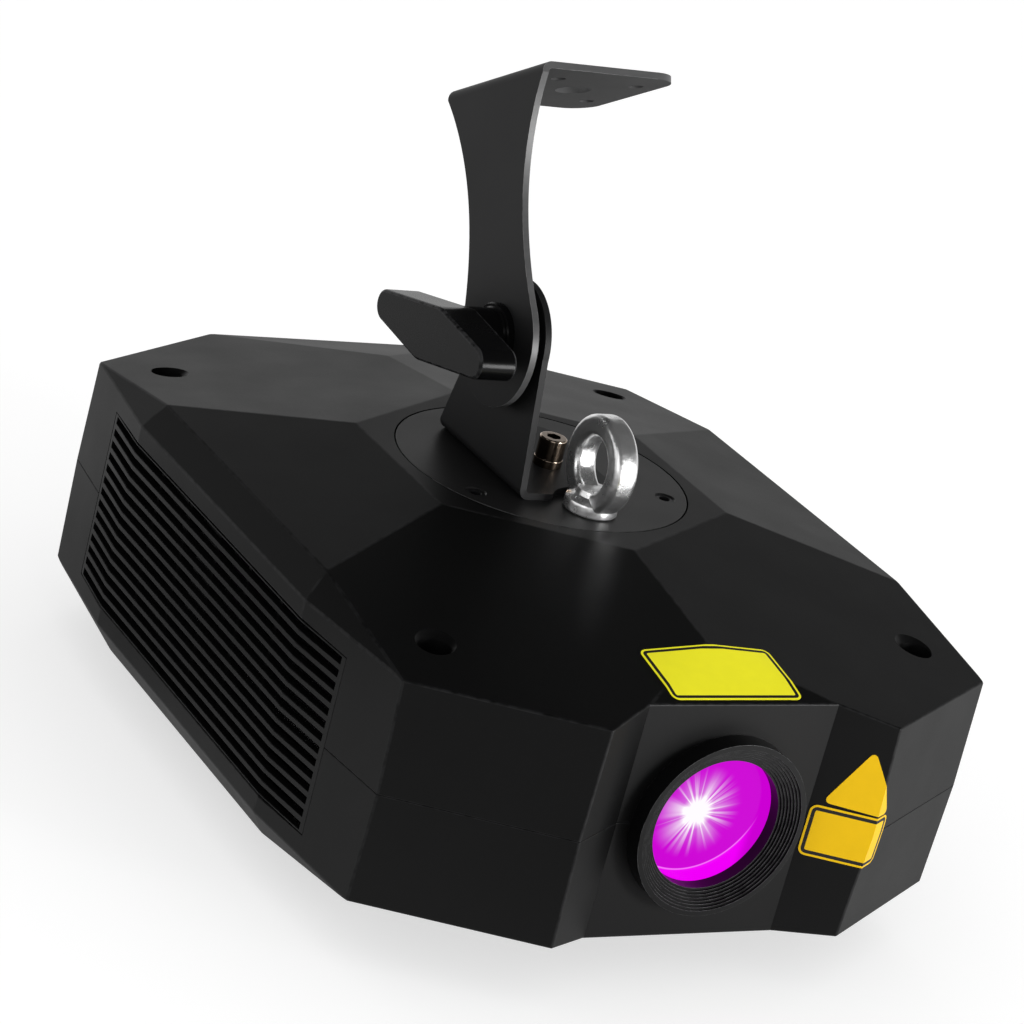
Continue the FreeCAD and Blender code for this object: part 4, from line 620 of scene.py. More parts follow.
def thicken(bm: bmesh.types.BMesh, move: Vector) -> None:
    """Makes a flat sheet a closed block.

    Args:
        bm: The sheet.
        move: Where its far side goes.
    """
    grown = bmesh.ops.extrude_face_region(bm, geom=bm.faces[:], use_keep_orig=True)["geom"]
    moved = [g for g in grown if isinstance(g, bmesh.types.BMVert)]
    bmesh.ops.translate(bm, verts=moved, vec=move)
    close_up(bm)


@dataclass(frozen=True)
class LitGlass:
    """The glowing magenta glass: a white star of rays and its glow, painted into the emission colour, and
    below a paler crescent that is a painted reflection on the domed glass.
    """

    magenta: Colour = (0.60, 0.0, 0.655)
    # Colours of the painted reflection: the paler crescent and the line along its edge.
    pale: Colour = (0.86, 0.0, 0.93)
    pink: Colour = (0.95, 0.2, 0.95)
    white: Colour = (1.0, 0.97, 1.0)
    unlit_share: float = 0.03
    star: Point = (-5.48 * MM, 0.0, 67.36 * MM)
    core_fade: Pair = (2.2 * MM, 7.4 * MM)
    ray_fade: Pair = (1.5 * MM, 18.5 * MM)
    ray_power: float = 1.2
    fine_cells: float = 7.0
    fine_detail: float = 2.0
    fine_step: Pair = (0.46, 0.64)
    broad_cells: float = 2.6
    broad_detail: float = 1.0
    broad_step: Pair = (0.4, 0.7)
    broad_share: float = 0.8
    glow_fade: Pair = (2.0 * MM, 18.0 * MM)
    glow_level: float = 0.45
    # Where the painted reflection lies: the crescent's centre, its edge, its edge line and its fade to the
    # right.
    crescent: Point = (-6.74 * MM, 0.0, 73.6 * MM)
    reflection_step: Pair = (28.2 * MM, 28.6 * MM)
    reflection_line_fade: Pair = (28.6 * MM, 29.1 * MM)
    reflection_right_fade: Pair = (15.0 * MM, 21.0 * MM)
    spill: float = 0.25
    roughness: float = 0.12
    specular: float = 0.03

    def pattern(self) -> bpy.types.ShaderNodeTree:
        """Draws the star and the crescent, which is a painted reflection.

        Returns:
            A group with the lit colour and the dark colour of the glass itself.
        """
        wires, _, wanted = new_group("lit_glass", {}, {"Color": "Color", "Dark": "Color"})
        flat = wires.vector("MULTIPLY", wires.place(), (1.0, 0.0, 1.0))
        from_star = wires.vector("SUBTRACT", flat, self.star)
        reach = wires.vector("LENGTH", from_star)
        heading = wires.vector("NORMALIZE", from_star)
        fine_rays = wires.ramp(wires.noise(heading, self.fine_cells, self.fine_detail), *self.fine_step)
        broad_rays = wires.ramp(wires.noise(heading, self.broad_cells, self.broad_detail), *self.broad_step)
        all_rays = wires.maths("MAXIMUM", fine_rays, wires.maths("MULTIPLY", broad_rays, self.broad_share))
        near = wires.ramp(reach, *self.ray_fade, 1.0, 0.0)
        rays = wires.maths("MULTIPLY", all_rays, wires.maths("POWER", near, self.ray_power))
        core = wires.ramp(reach, *self.core_fade, 1.0, 0.0)
        glow = wires.ramp(reach, *self.glow_fade, self.glow_level, 0.0)
        lit = wires.maths("ADD", core, wires.maths("MULTIPLY_ADD", glow, glow, rays))
        # The paler crescent and its line are a painted reflection on the domed glass, faded out to the
        # right.
        from_reflection = wires.vector("DISTANCE", flat, self.crescent)
        fade = wires.ramp(wires.split(flat)[0], *self.reflection_right_fade, 1.0, 0.0)
        below = wires.maths("MULTIPLY", fade, wires.ramp(from_reflection, *self.reflection_step))
        line = wires.maths("MULTIPLY", below, wires.ramp(from_reflection, *self.reflection_line_fade, 1.0, 0.0))
        ground = wires.mixed(below, (*self.magenta, 1.0), (*self.pale, 1.0))
        body = wires.mixed(line, ground, (*self.pink, 1.0))
        white = wires.mixed(wires.maths("MINIMUM", lit, 1.0), body, (*self.white, 1.0))
        wires.join(white, wanted["Color"])
        wires.join(wires.scaled(body, self.unlit_share), wanted["Dark"])
        return wires.tree

    def material(self) -> bpy.types.Material:
        """Makes the material, which lights the pieces round it less than it shows.

        Returns:
            The new material.
        """
        material = bpy.data.materials.new("lit_magenta_glass")
        material.use_nodes = True
        wires = Wiring(material.node_tree)
        shader = material.node_tree.nodes["Principled BSDF"]
        drawn = wires.group(self.pattern(), {})
        path = wires.node("ShaderNodeLightPath")
        level = wires.maths("MULTIPLY_ADD", path.outputs["Is Diffuse Ray"], self.spill - 1.0, 1.0)
        wires.join(wires.scaled(drawn.outputs["Color"], level), shader.inputs["Emission Color"])
        wires.join(drawn.outputs["Dark"], shader.inputs["Base Color"])
        shader.inputs["Emission Strength"].default_value = 1.0
        shader.inputs["Roughness"].default_value = self.roughness
        shader.inputs["Specular IOR Level"].default_value = self.specular
        return material


@dataclass
class Case:
    """The two shells, the vent grilles, the screws down the wells and the feet."""

    parting: float = 65 * MM
    parting_slack: float = 0.01 * MM
    rim_width: float = 0.38 * MM
    rim_angle: float = 40.0
    ridge_width: float = 0.7 * MM
    ridge_angle: float = 4.0
    ridge_face: float = 120 * MM * MM
    ridge_off_parting: float = 0.4 * MM
    slat_width: float = 0.6 * MM
    slat_angle: float = 40.0
    slat_face: float = 20 * MM * MM

    def build(self, shop: Workshop) -> None:
        """Rounds the shells and grilles, and dresses the rest.

        Args:
            shop: The workshop.
        """
        shell_cuts = [Cut(self.rim_width, 2, self.at_parting), Cut(self.ridge_width, 3, self.ridge)]
        for node in ("upper_shell", "lower_shell"):
            shop.rounded(node, node + "_moulded", shell_cuts)
        slat_cut = Cut(self.slat_width, 3, convex(self.slat_angle, self.slat_face))
        for node in ("right_vent_grille", "left_vent_grille"):
            shop.rounded(node, node + "_slatted", [slat_cut])
        for node in ("case_screws", "rubber_feet", "foot_screws"):
            shop.dress_node(node)

    def at_parting(self, edge: bmesh.types.BMEdge) -> bool:
        """True for outward edges in the plane where the shells meet."""
        level = all(abs(v.co.z - self.parting) < self.parting_slack for v in edge.verts)
        return level and convex(self.rim_angle)(edge)

    def ridge(self, edge: bmesh.types.BMEdge) -> bool:
        """True for outward edges between two large facets."""
        off_parting = any(abs(v.co.z - self.parting) > self.ridge_off_parting for v in edge.verts)
        return off_parting and convex(self.ridge_angle, self.ridge_face)(edge)


@dataclass
class TopMount:
    """The disc on top of the case with its screws, the eye bolt and the cap screw.

    The two profiles give radius and height over the case's top, in millimetres.
    """

    top: float = 126 * MM
    edge_angle: float = 40.0
    disc_bevel: float = 0.3 * MM
    disc_face: float = 8 * MM * MM
    eye_centre: Point = (0.0, -36.5 * MM, 144 * MM)
    ring_radius: float = 14 * MM
    ring_steps: int = 72
    wire_radial: float = 4 * MM
    wire_axial: float = 4.8 * MM
    wire_round: float = 2.3 * MM
    wire_segments: int = 6
    bolt_profile: Outline = ((0.0, 8.4), (6.4, 8.4), (6.9, 6.4), (8.0, 5.3), (8.8, 4.9), (9.65, 4.4),
                             (10.0, 3.5), (10.0, 0.6), (9.4, 0.0), (4.0, 0.0), (4.0, -16.0), (0.0, -16.0))
    bolt_steps: int = 56
    head_round: float = 0.7 * MM
    head_share: float = 0.9
    head_slack: float = 0.01 * MM
    washer_round: float = 0.5 * MM
    screw_circle: float = 46.6 * MM
    screw_count: int = 3
    screw_profile: Outline = ((0.0, -2.5), (1.9, -2.5), (2.0, -0.85), (2.3, -0.5), (3.2, -0.5), (3.5, -0.62),
                              (1.98, -2.2), (1.98, -9.9), (0.0, -9.9))
    screw_steps: int = 32

    def build(self, shop: Workshop) -> None:
        """Builds the pieces and dresses the nuts.

        Args:
            shop: The workshop.
        """
        disc_cut = Cut(self.disc_bevel, 2, convex(self.edge_angle, self.disc_face))
        shop.rounded("top_mounting_disc", "mounting_disc", [disc_cut])
        self.eye_bolt(shop)
        self.disc_screws(shop)
        shop.rounded("clamp_screw", "cap_screw", [Cut(self.head_round, 3, self.head_rim)])
        washer_cut = Cut(self.washer_round, 3, convex(self.edge_angle))
        shop.rounded("clamp_washers", "cap_screw_washers", [washer_cut])
        for node in ("eye_bolt_nut", "clamp_nut"):
            shop.dress_node(node)

    def head_rim(self, edge: bmesh.types.BMEdge) -> bool:
        """Finds the upper outer edge of the cap screw's head.

        Args:
            edge: An edge of the cap screw.

        Returns:
            True where it is part of that edge.
        """
        low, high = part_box("clamp_screw")
        middle = (low + high) / 2
        least_reach = self.head_share * (high.x - middle.x)
        far = all((v.co.xy - middle.xy).length > least_reach for v in edge.verts)
        upper = all(v.co.z > high.z - self.head_slack for v in edge.verts)
        return far and upper and convex(self.edge_angle)(edge)

    def disc_screws(self, shop: Workshop) -> None:
        """Spins the sunk heads of the disc screws with their sockets.

        Args:
            shop: The workshop.
        """
        bm = bmesh.new()
        for k in range(self.screw_count):
            turn = Matrix.Rotation(math.tau * k / self.screw_count, 3, "Z")
            place = turn @ Vector((0, self.screw_circle, 0)) + UP * self.top
            lathe(bm, in_metres(self.screw_profile), place, UP, RIGHT, self.screw_steps)
        close_up(bm)
        shop.add(bm, "sunk_disc_screws", "chassis", ["black_steel"], ["disc_screws"])

    def eye_bolt(self, shop: Workshop) -> None:
        """Spins the oval ring about X, and the collar and shank about Z.

        Args:
            shop: The workshop.
        """
        bm = bmesh.new()
        centre = Vector(self.eye_centre)
        square = bmesh.ops.create_circle(bm, cap_ends=True, segments=4, radius=math.sqrt(2))["verts"]
        upright = Matrix.Rotation(math.pi / 2, 4, "X")
        stretch = Matrix.Diagonal((self.wire_axial, self.wire_radial, 1.0, 1.0))
        squared = Matrix.Rotation(math.pi / 4, 4, "Z")
        bmesh.ops.transform(bm, verts=square, matrix=upright @ stretch @ squared)
        round_corners(bm, square, self.wire_round, self.wire_segments)
        bmesh.ops.delete(bm, geom=bm.faces[:], context="FACES_ONLY")
        bmesh.ops.translate(bm, verts=bm.verts, vec=centre + UP * self.ring_radius)
        bmesh.ops.spin(bm, geom=bm.verts[:] + bm.edges[:], cent=centre, axis=RIGHT, angle=math.tau,
                       steps=self.ring_steps, use_merge=True)
        foot = Vector((centre.x, centre.y, self.top))
        lathe(bm, in_metres(self.bolt_profile), foot, UP, RIGHT, self.bolt_steps)
        close_up(bm)
        shop.add(bm, "forged_eye_bolt", shop.body_of["safety_eye_bolt"], ["eye_chrome"], ["safety_eye_bolt"])


@dataclass
class TiltBracket:
    """The foot with its ear, the waisted arm with its flange, the pivot and the wing knob.

    The neck's profile gives radius and place along X, in millimetres.
    """

    hinge: Point = (0.0, 0.0, 176 * MM)
    tilt: float = math.radians(28.5)
    arm_inner_x: float = -30.7 * MM
    sheet_bevel: float = 0.28 * MM
    sheet_angle: float = 50.0
    sheet_face: float = 3 * MM * MM
    rim_lean: float = 0.3
    end_lean: float = 0.999
    wing_outer_x: float = -62 * MM
    wing_inner_x: float = -47 * MM
    half_length: float = 39.5 * MM
    half_width: float = 11.3 * MM
    tip_half_width: float = 4.9 * MM
    corner_shift: float = 5 * MM
    tip_round: float = 4.7 * MM
    tip_segments: int = 8
    corner_round: float = 2.0 * MM
    corner_segments: int = 4
    wing_bevel: float = 1.1 * MM
    wing_segments: int = 4
    wing_angle: float = 60.0
    neck_profile: Outline = ((0.0, -48.0), (10.5, -48.0), (10.5, -36.9), (11.1, -36.3), (12.0, -36.3),
                             (12.5, -35.8), (12.5, -33.35), (0.0, -33.35))
    neck_steps: int = 64
    knob_turn: float = math.radians(-5)

    def build(self, shop: Workshop) -> None:
        """Rounds the sheets, builds the knob and dresses the pivot.

        Args:
            shop: The workshop.
        """
        sheet_cut = Cut(self.sheet_bevel, 2, convex(self.sheet_angle, self.sheet_face))
        shop.rounded("upper_bracket", "tilt_arm_sheet", [sheet_cut], ["bracket_rim"], self.arm_rim)
        shop.rounded("lower_bracket", "foot_sheet", [sheet_cut])
        self.knob(shop)
        for node in ("pivot_bolt", "friction_washer"):
            shop.dress_node(node)

    def arm_rim(self, face: bmesh.types.BMFace) -> bool:
        """Finds the cut edges of the arm and its flange.

        Args:
            face: A face of the upper bracket.

        Returns:
            True where it is part of those edges.
        """
        if face.calc_center_median().x < self.arm_inner_x:
            return abs(face.normal.x) < self.rim_lean
        flange_up = Vector((0, math.sin(self.tilt), math.cos(self.tilt)))
        return abs(face.normal.dot(flange_up)) < self.rim_lean and abs(face.normal.x) < self.end_lean

    def knob(self, shop: Workshop) -> None:
        """Pulls the wing from its rounded outline, and spins the neck and its flange.

        Args:
            shop: The workshop.
        """
        bm = bmesh.new()
        outline = ((-self.half_length, -self.tip_half_width), (self.corner_shift, -self.half_width),
                   (self.half_length, -self.tip_half_width), (self.half_length, self.tip_half_width),
                   (-self.corner_shift, self.half_width), (-self.half_length, self.tip_half_width))
        verts = [bm.verts.new((self.wing_inner_x, y, z)) for y, z in outline]
        bm.faces.new(verts)
        corners = [v for v in verts if abs(v.co.y) < self.half_length / 2]
        tips = [v for v in verts if v not in corners]
        round_corners(bm, tips, self.tip_round, self.tip_segments)
        round_corners(bm, corners, self.corner_round, self.corner_segments)
        thicken(bm, RIGHT * (self.wing_outer_x - self.wing_inner_x))
        bevel_edges(bm, Cut(self.wing_bevel, self.wing_segments, convex(self.wing_angle)))
        lathe(bm, in_metres(self.neck_profile), Vector((0, 0, 0)), RIGHT, REAR, self.neck_steps)
        close_up(bm)
        move = Matrix.Translation(Vector(self.hinge)) @ Matrix.Rotation(self.knob_turn, 4, "X")
        bmesh.ops.transform(bm, verts=bm.verts, matrix=move)
        shop.add(bm, "wing_knob", "knob", ["knob_plastic"], ["tilt_knob"])


@dataclass
class Lens:
    """The stepped ring in the front recess, the lit glass and what holds it."""

    axis_z: float = 65 * MM
    glass_front: float = -153.0 * MM
    glass_radius: float = 26 * MM
    glass_thickness: float = 3 * MM
    glass_steps: int = 72
    dome: float = 0.5 * MM
    dome_rings: int = 8
    step_bevel: float = 0.12 * MM
    step_angle: float = 30.0

    def build(self, shop: Workshop) -> None:
        """Rounds the ring's steps, spins the glass and dresses the holders.

        Args:
            shop: The workshop.
        """
        shop.rounded("lens_ring", "stepped_lens_ring", [Cut(self.step_bevel, 2, convex(self.step_angle))])
        bm = bmesh.new()
        shares = [k / self.dome_rings for k in range(self.dome_rings + 1)]
        profile = [(self.glass_radius * share, -self.dome * share ** 2) for share in shares]
        profile += [(self.glass_radius, -self.glass_thickness), (0.0, -self.glass_thickness)]
        lathe(bm, profile, Vector((0, self.glass_front, self.axis_z)), -REAR, RIGHT, self.glass_steps)
        close_up(bm)
        shop.add(bm, "lit_aperture_glass", "chassis", ["lens_glass"], ["aperture_glass"])
        for node in ("glass_gasket", "glass_retainer", "lens_ring_nut"):
            shop.dress_node(node)


@dataclass
class Stickers:
    """Blank foil stickers: one over the front ridges, two round the right edge of the recess.

    Outlines and places on the case are in millimetres.
    """

    lift: float = 0.03 * MM
    thickness: float = 0.14 * MM
    margin: float = 0.8 * MM
    line: float = 1.3 * MM
    corner_segments: int = 5
    top_z: float = 126.0
    slope: float = math.tan(math.radians(10))
    plateau: float = 60.7
    crest: Pair = (125.0, 117.615)
    recess_corner: Point = (38.5, 155.2, 109.609)
    parting: float = 65.0
    rim_rise: float = 41.08
    apothem: float = 173.65
    draft: float = math.tan(math.radians(2))
    top_outline: Outline = ((-28.2, -153.2), (24.7, -153.2), (24.7, -126.3), (-28.2, -126.3))
    plate_outline: Outline = ((0.9, 51.8), (32.5, 51.8), (32.5, 71.4), (0.9, 71.4))
    plate_corner: float = 2.7
    triangle_outline: Outline = ((4.2, 72.9), (17.0, 96.0), (31.2, 71.9))
    triangle_corner: float = 3.0
    fold_reach: float = 1.155
    fold_slack: float = 0.001

    def build(self, shop: Workshop) -> None:
        """Builds the sticker on top and the two that wrap the edge.

        Args:
            shop: The workshop.
        """
        self.top(shop)
        self.wrapped(shop, "edge_triangle", self.triangle_outline, self.triangle_corner, lined=False)
        self.wrapped(shop, "edge_plate", self.plate_outline, self.plate_corner, lined=True)

    def blank(self, outline: Outline, corner: float, lined: bool) -> bmesh.types.BMesh:
        """Makes a flat sticker with rounded corners.

        Args:
            outline: Its corners.
            corner: How far the corners are cut back, in millimetres.
            lined: Whether it has a dark line inside its margin.

        Returns:
            The sticker on the XY plane, its print upwards, in metres.
        """
        bm = bmesh.new()
        bm.faces.new([bm.verts.new((x, y, 0)) for x, y in in_metres(outline)])
        round_corners(bm, bm.verts[:], corner * MM, self.corner_segments)
        if lined:
            middle = bm.faces[:]
            bmesh.ops.inset_individual(bm, faces=middle, thickness=self.margin, use_even_offset=True)
            ring = bmesh.ops.inset_individual(bm, faces=middle, thickness=self.line, use_even_offset=True)
            for face in ring["faces"]:
                face.material_index = 1
        thicken(bm, UP * self.thickness)
        return bm

    def fold(self, bm: bmesh.types.BMesh, point: Vector, along: Vector) -> None:
        """Cuts the flat sticker along a line where it is folded."""
        bmesh.ops.bisect_plane(bm, geom=bm.verts[:] + bm.edges[:] + bm.faces[:], dist=FOLD_DISTANCE,
                               plane_co=point, plane_no=along.cross(UP).normalized())

    def top(self, shop: Workshop) -> None:
        """Lays the lemon sticker on the front facets, folded over both ridges.

        Args:
            shop: The workshop.
        """
        bm = self.blank(self.top_outline, self.plate_corner, lined=True)
        corner_x, corner_y, corner_z = self.recess_corner
        crest_y, crest_z = self.crest
        for side in (-1, 1):
            self.fold(bm, Vector((0, -crest_y * MM, 0)), Vector((side * corner_x, crest_y - corner_y, 0)))
        fall = (crest_z - corner_z) / (corner_y - crest_y)
        for vert in bm.verts:
            x, y = abs(vert.co.x) / MM, -vert.co.y / MM
            facet = self.top_z - (SIN_30 * x + COS_30 * y - self.plateau) * self.slope
            ridge = crest_z - fall * (y - crest_y)
            vert.co.z += min(facet, ridge) * MM + self.lift
        close_up(bm)
        shop.add(bm, "front_sticker", "chassis", ["lemon_foil", "ink"])

    def edge_at(self, z: float) -> float:
        """Finds the outer edge of the recess wall.

        Args:
            z: A height, in millimetres.

        Returns:
            How far along the wall the edge lies there, in millimetres.
        """
        wall = self.apothem + (self.rim_rise - abs(z - self.parting)) * self.draft
        corner_x, corner_y, _ = self.recess_corner
        return (wall - SIN_30 * corner_x - COS_30 * corner_y) / COS_30

    def wrapped(self, shop: Workshop, name: str, outline: Outline, corner: float, lined: bool) -> None:
        """Lays a sticker along the recess wall and round its outer edge on to the front right wall.

        Args:
            shop: The workshop.
            name: The piece's name.
            outline: Corners by distance along the walls and height.
            corner: How far the corners are cut back, in millimetres.
            lined: Whether it has a dark line inside its margin.
        """
        bm = self.blank(outline, corner, lined)
        low = min(z for _, z in outline)
        high = max(z for _, z in outline)
        if low < self.parting < high:
            self.fold(bm, Vector((0, self.parting * MM, 0)), RIGHT)
        for start, end in ((low, self.parting), (self.parting, high)):
            if end > start:
                first = Vector((self.edge_at(start) * MM, start * MM, 0))
                last = Vector((self.edge_at(end) * MM, end * MM, 0))
                self.fold(bm, first, last - first)
        root = Vector((self.recess_corner[0], -self.recess_corner[1], 0))
        before_edge, past_edge = Vector((COS_30, -SIN_30, 0)), Vector((COS_30, SIN_30, 0))
        for vert in bm.verts:
            along, z = vert.co.x / MM, vert.co.y / MM
            edge = self.edge_at(z)
            if along <= edge:
                spot = root + before_edge * along
                away = Vector((-SIN_30, -COS_30, 0))
            else:
                spot = root + before_edge * edge + past_edge * (along - edge)
                away = Vector((SIN_30, -COS_30, 0))
            if abs(along - edge) < self.fold_slack:
                away = -REAR * self.fold_reach
            spot = spot + away * ((self.lift + vert.co.z) / MM)
            vert.co = Vector((spot.x * MM, spot.y * MM, z * MM))
        close_up(bm)
        shop.add(bm, name, "chassis", ["amber_foil", "ink"])


@dataclass
class RearBay:
    """The connector bay at the back with its sockets, switch, display and buttons."""

    small_bevel: float = 0.25 * MM
    small_face: float = 4 * MM * MM
    edge_angle: float = 50.0
    button_bevel: float = 0.35 * MM
    button_count: int = 4
    insert_x: float = 3 * MM
    insert_z: float = 51 * MM
    insert_radius: float = 8.3 * MM

    def build(self, shop: Workshop) -> None:
        """Rounds the panel, the sockets and the buttons, and dresses the rest.

        Args:
            shop: The workshop.
        """
        small_cut = Cut(self.small_bevel, 2, convex(self.edge_angle, self.small_face))
        for node, name in (("rear_panel", "bay_tray"), ("dmx_input_socket", "control_input"),
                           ("dmx_output_socket", "control_output"), ("power_inlet", "mains_inlet"),
                           ("interlock_socket", "interlock_port"), ("display_window", "display_pane"),
                           ("key_switch", "key_barrel"), ("switch_key", "turned_key")):
            shop.rounded(node, name, [small_cut])
        button_cut = Cut(self.button_bevel, 3, convex(self.edge_angle))
        for k in range(1, self.button_count + 1):
            shop.rounded("menu_button_%d" % k, "button_cap_%d" % k, [button_cut])
        shop.rounded("socket_contacts", "contacts_and_insert", [], ["socket_plastic"], self.in_insert)
        for node in ("panel_screws", "control_board", "control_standoffs"):
            shop.dress_node(node)

    def in_insert(self, face: bmesh.types.BMFace) -> bool:
        """True for the plastic insert of the control output."""
        middle = face.calc_center_median()
        return math.hypot(middle.x - self.insert_x, middle.z - self.insert_z) < self.insert_radius


@dataclass
class Interior:
    """Fans behind the vents, the optical plate and what stands on it."""

    def build(self, shop: Workshop) -> None:
        """Dresses every node that no other class has taken.

        Args:
            shop: The workshop.
        """
        taken = {n for o in bpy.data.objects for n in o.get("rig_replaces", [])}
        for node in sorted(frame["nodes"]):
            if node not in taken and frame["nodes"][node].data.materials[0] not in shop.materials.values():
                shop.dress_node(node)


@dataclass(frozen=True)
class Lamp:
    """A square area lamp: its place and side in metres, and its power in watts."""

    name: str
    place: Point
    side: float
    power: float


@dataclass(frozen=True)
class DimPatch:
    """A round patch of the world that mirrors less.

    Its edge and its core are given as cosines of the angle from its heading.
    """

    heading: Point
    edge: float
    core: float
    level: float


@dataclass
class Studio:
    """Floor, world, lamps and camera. The levels called mirrored are for glossy rays alone."""

    eye: Point = (-0.700, -1.0388, 0.5744)
    right: Point = (0.8541, -0.4612, 0.2406)
    up: Point = (-0.0261, 0.4240, 0.9053)
    lens: float = 127.55
    sensor: float = 36.0
    clip: Pair = (0.01, 100.0)
    lamps: Tuple[Lamp, ...] = (Lamp("front_right", (1.3, -1.9, 0.35), 0.6, 30.0),
                               Lamp("front_left", (-2.0, -1.2, 1.0), 1.0, 4.0))
    aim: Point = (0.0, 0.0, 0.1)
    floor_size: float = 30.0
    floor_drop: float = 0.2 * MM
    floor_grey: Colour = (0.55, 0.55, 0.55)
    floor_glow: float = 0.6
    floor_mirrored: float = 0.3
    front_left_mirrored: float = 0.15
    front_right_mirrored: float = 0.85
    front_span: Pair = (0.01, 0.11)
    front_depth: Pair = (-0.26, -0.18)
    rear_span: Pair = (-0.25, -0.05)
    rear_depth: Pair = (0.02, 0.12)
    rear_end: Pair = (0.2, 0.32)
    dimmed_grey: float = 0.6
    dim_patches: Tuple[DimPatch, ...] = (DimPatch((-0.44, -0.9, 0.0), 0.8, 0.95, 0.8),
                                         DimPatch((-0.5, 0.77, 0.4), 0.87, 0.97, 0.25))
    ceiling: float = 0.03
    ceiling_span: Pair = (0.26, 0.46)
    right_level: float = 0.66
    right_span: Pair = (0.1, 0.9)
    diffuse_light: float = 0.7

    def build(self) -> None:
        """Builds the whole stage."""
        bpy.context.scene.view_settings.view_transform = "Standard"
        self.camera()
        self.floor()
        self.world()
        for lamp in self.lamps:
            self.hang(lamp)

    def camera(self) -> None:
        """Sets the camera that was fitted to the photograph."""
        data = bpy.data.cameras.new("camera")
        data.lens, data.sensor_width = self.lens, self.sensor
        data.clip_start, data.clip_end = self.clip
        camera = bpy.data.objects.new("camera", data)
        bpy.context.scene.collection.objects.link(camera)
        x, y = Vector(self.right).normalized(), Vector(self.up)
        z = x.cross(y).normalized()
        y = z.cross(x)
        turn = Matrix((x, y, z)).transposed().to_4x4()
        camera.matrix_world = Matrix.Translation(Vector(self.eye)) @ turn
        bpy.context.scene.camera = camera

    def hang(self, lamp: Lamp) -> None:
        """Adds a lamp that faces the case.

        Args:
            lamp: The lamp.
        """
        data = bpy.data.lights.new(lamp.name, "AREA")
        data.size, data.energy = lamp.side, lamp.power
        hung = bpy.data.objects.new(lamp.name, data)
        bpy.context.scene.collection.objects.link(hung)
        hung.location = lamp.place
        hung.rotation_euler = (Vector(self.aim) - Vector(lamp.place)).to_track_quat("-Z", "Y").to_euler()

    def floor(self) -> None:
        """Lays a pale floor that shows white to the camera and keeps the shadow."""
        bm = bmesh.new()
        bmesh.ops.create_grid(bm, x_segments=1, y_segments=1, size=self.floor_size / 2)
        mesh = bpy.data.meshes.new("floor")
        bm.to_mesh(mesh)
        bm.free()
        floor = bpy.data.objects.new("floor", mesh)
        floor.location.z = -self.floor_drop
        bpy.context.scene.collection.objects.link(floor)
        mesh.materials.append(self.floor_material())

    def floor_material(self) -> bpy.types.Material:
        """Makes the floor's grey and its glow, with other mirrored levels in front and at the left rear.

        Returns:
            The new material.
        """
        material = bpy.data.materials.new("pale_floor")
        material.use_nodes = True
        tree = material.node_tree
        wires = Wiring(tree)
        tree.nodes.remove(tree.nodes["Principled BSDF"])
        path = wires.node("ShaderNodeLightPath")
        glossy = path.outputs["Is Glossy Ray"]
        seen = wires.maths("MAXIMUM", path.outputs["Is Camera Ray"], path.outputs["Is Transmission Ray"])
        x, y, _ = wires.split(wires.place())
        front = wires.ramp(y, *self.front_depth, 1.0, 0.0)
        across = wires.ramp(x, *self.front_span, self.front_left_mirrored - self.floor_mirrored,
                            self.front_right_mirrored - self.floor_mirrored)
        behind = wires.ramp(y, *self.rear_depth)
        band = wires.maths("MULTIPLY", behind, wires.ramp(y, *self.rear_end, 1.0, 0.0))
        rear = wires.maths("MULTIPLY", band, wires.ramp(x, *self.rear_span, 1.0, 0.0))
        level = wires.maths("MULTIPLY_ADD", front, across, self.floor_mirrored)
        level = wires.maths("MULTIPLY", level, wires.maths("SUBTRACT", 1.0, rear))
        left = wires.maths("MULTIPLY", front, wires.ramp(x, *self.front_span, 1.0, 0.0))
        dimmed = wires.maths("MULTIPLY", wires.maths("MAXIMUM", left, rear), glossy)
        shade = wires.maths("MULTIPLY_ADD", dimmed, self.dimmed_grey - 1.0, 1.0)
        matt = wires.node("ShaderNodeBsdfDiffuse")
        wires.join(wires.scaled(self.floor_grey, shade), matt.inputs["Color"])
        glow = wires.node("ShaderNodeEmission")
        strength = wires.maths("MULTIPLY_ADD", seen, self.floor_glow, wires.maths("MULTIPLY", glossy, level))
        wires.join(strength, glow.inputs["Strength"])
        both = wires.node("ShaderNodeAddShader")
        wires.join(matt.outputs[0], both.inputs[0])
        wires.join(glow.outputs[0], both.inputs[1])
        wires.join(both.outputs[0], tree.nodes["Material Output"].inputs["Surface"])
        return material

    def world(self) -> None:
        """White for the camera; mirrored, it is white low down, dark overhead and dimmer to the right."""
        world = bpy.data.worlds.new("studio")
        world.use_nodes = True
        bpy.context.scene.world = world
        wires = Wiring(world.node_tree)
        path = wires.node("ShaderNodeLightPath")
        glossy = path.outputs["Is Glossy Ray"]
        seen = wires.maths("MAXIMUM", path.outputs["Is Camera Ray"], path.outputs["Is Transmission Ray"])
        heading = wires.node("ShaderNodeTexCoord").outputs["Generated"]
        x, _, z = wires.split(heading)
        shade = wires.ramp(z, *self.ceiling_span, 1.0, self.ceiling)
        for patch in self.dim_patches:
            towards = wires.vector("DOT_PRODUCT", heading, patch.heading)
            dim = wires.ramp(towards, patch.edge, patch.core, 1.0, patch.level)
            shade = wires.maths("MULTIPLY", shade, dim)
        side = wires.ramp(x, *self.right_span, 1.0, self.right_level)
        mirrored = wires.maths("MULTIPLY", glossy, wires.maths("MULTIPLY", shade, side))
        unseen = wires.maths("SUBTRACT", 1.0, wires.maths("MAXIMUM", seen, glossy))
        total = wires.maths("MULTIPLY_ADD", unseen, self.diffuse_light, wires.maths("ADD", seen, mirrored))
        back = world.node_tree.nodes["Background"]
        wires.join(total, back.inputs["Strength"])
        back.inputs["Color"].default_value = (1.0, 1.0, 1.0, 1.0)


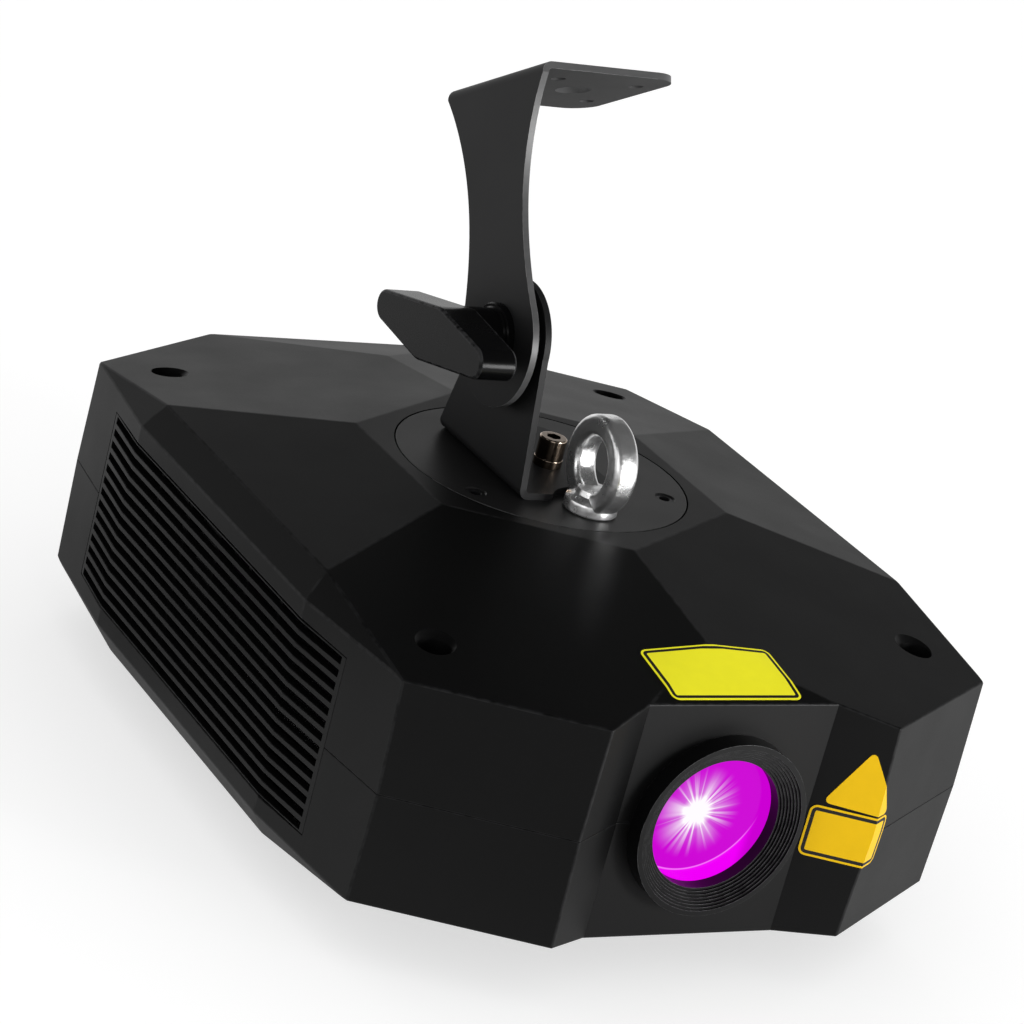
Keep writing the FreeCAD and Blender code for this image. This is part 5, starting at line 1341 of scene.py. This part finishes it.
def main() -> None:
    """Builds every sub-assembly, dresses the nodes and sets the stage."""
    logging.basicConfig(level=logging.INFO, format="%(name)s: %(message)s")
    shop = Workshop()
    for assembly in (Case(), TopMount(), TiltBracket(), Lens(), Stickers(), RearBay(), Interior()):
        assembly.build(shop)
    Studio().build()


if __name__ == "__main__":
    main()
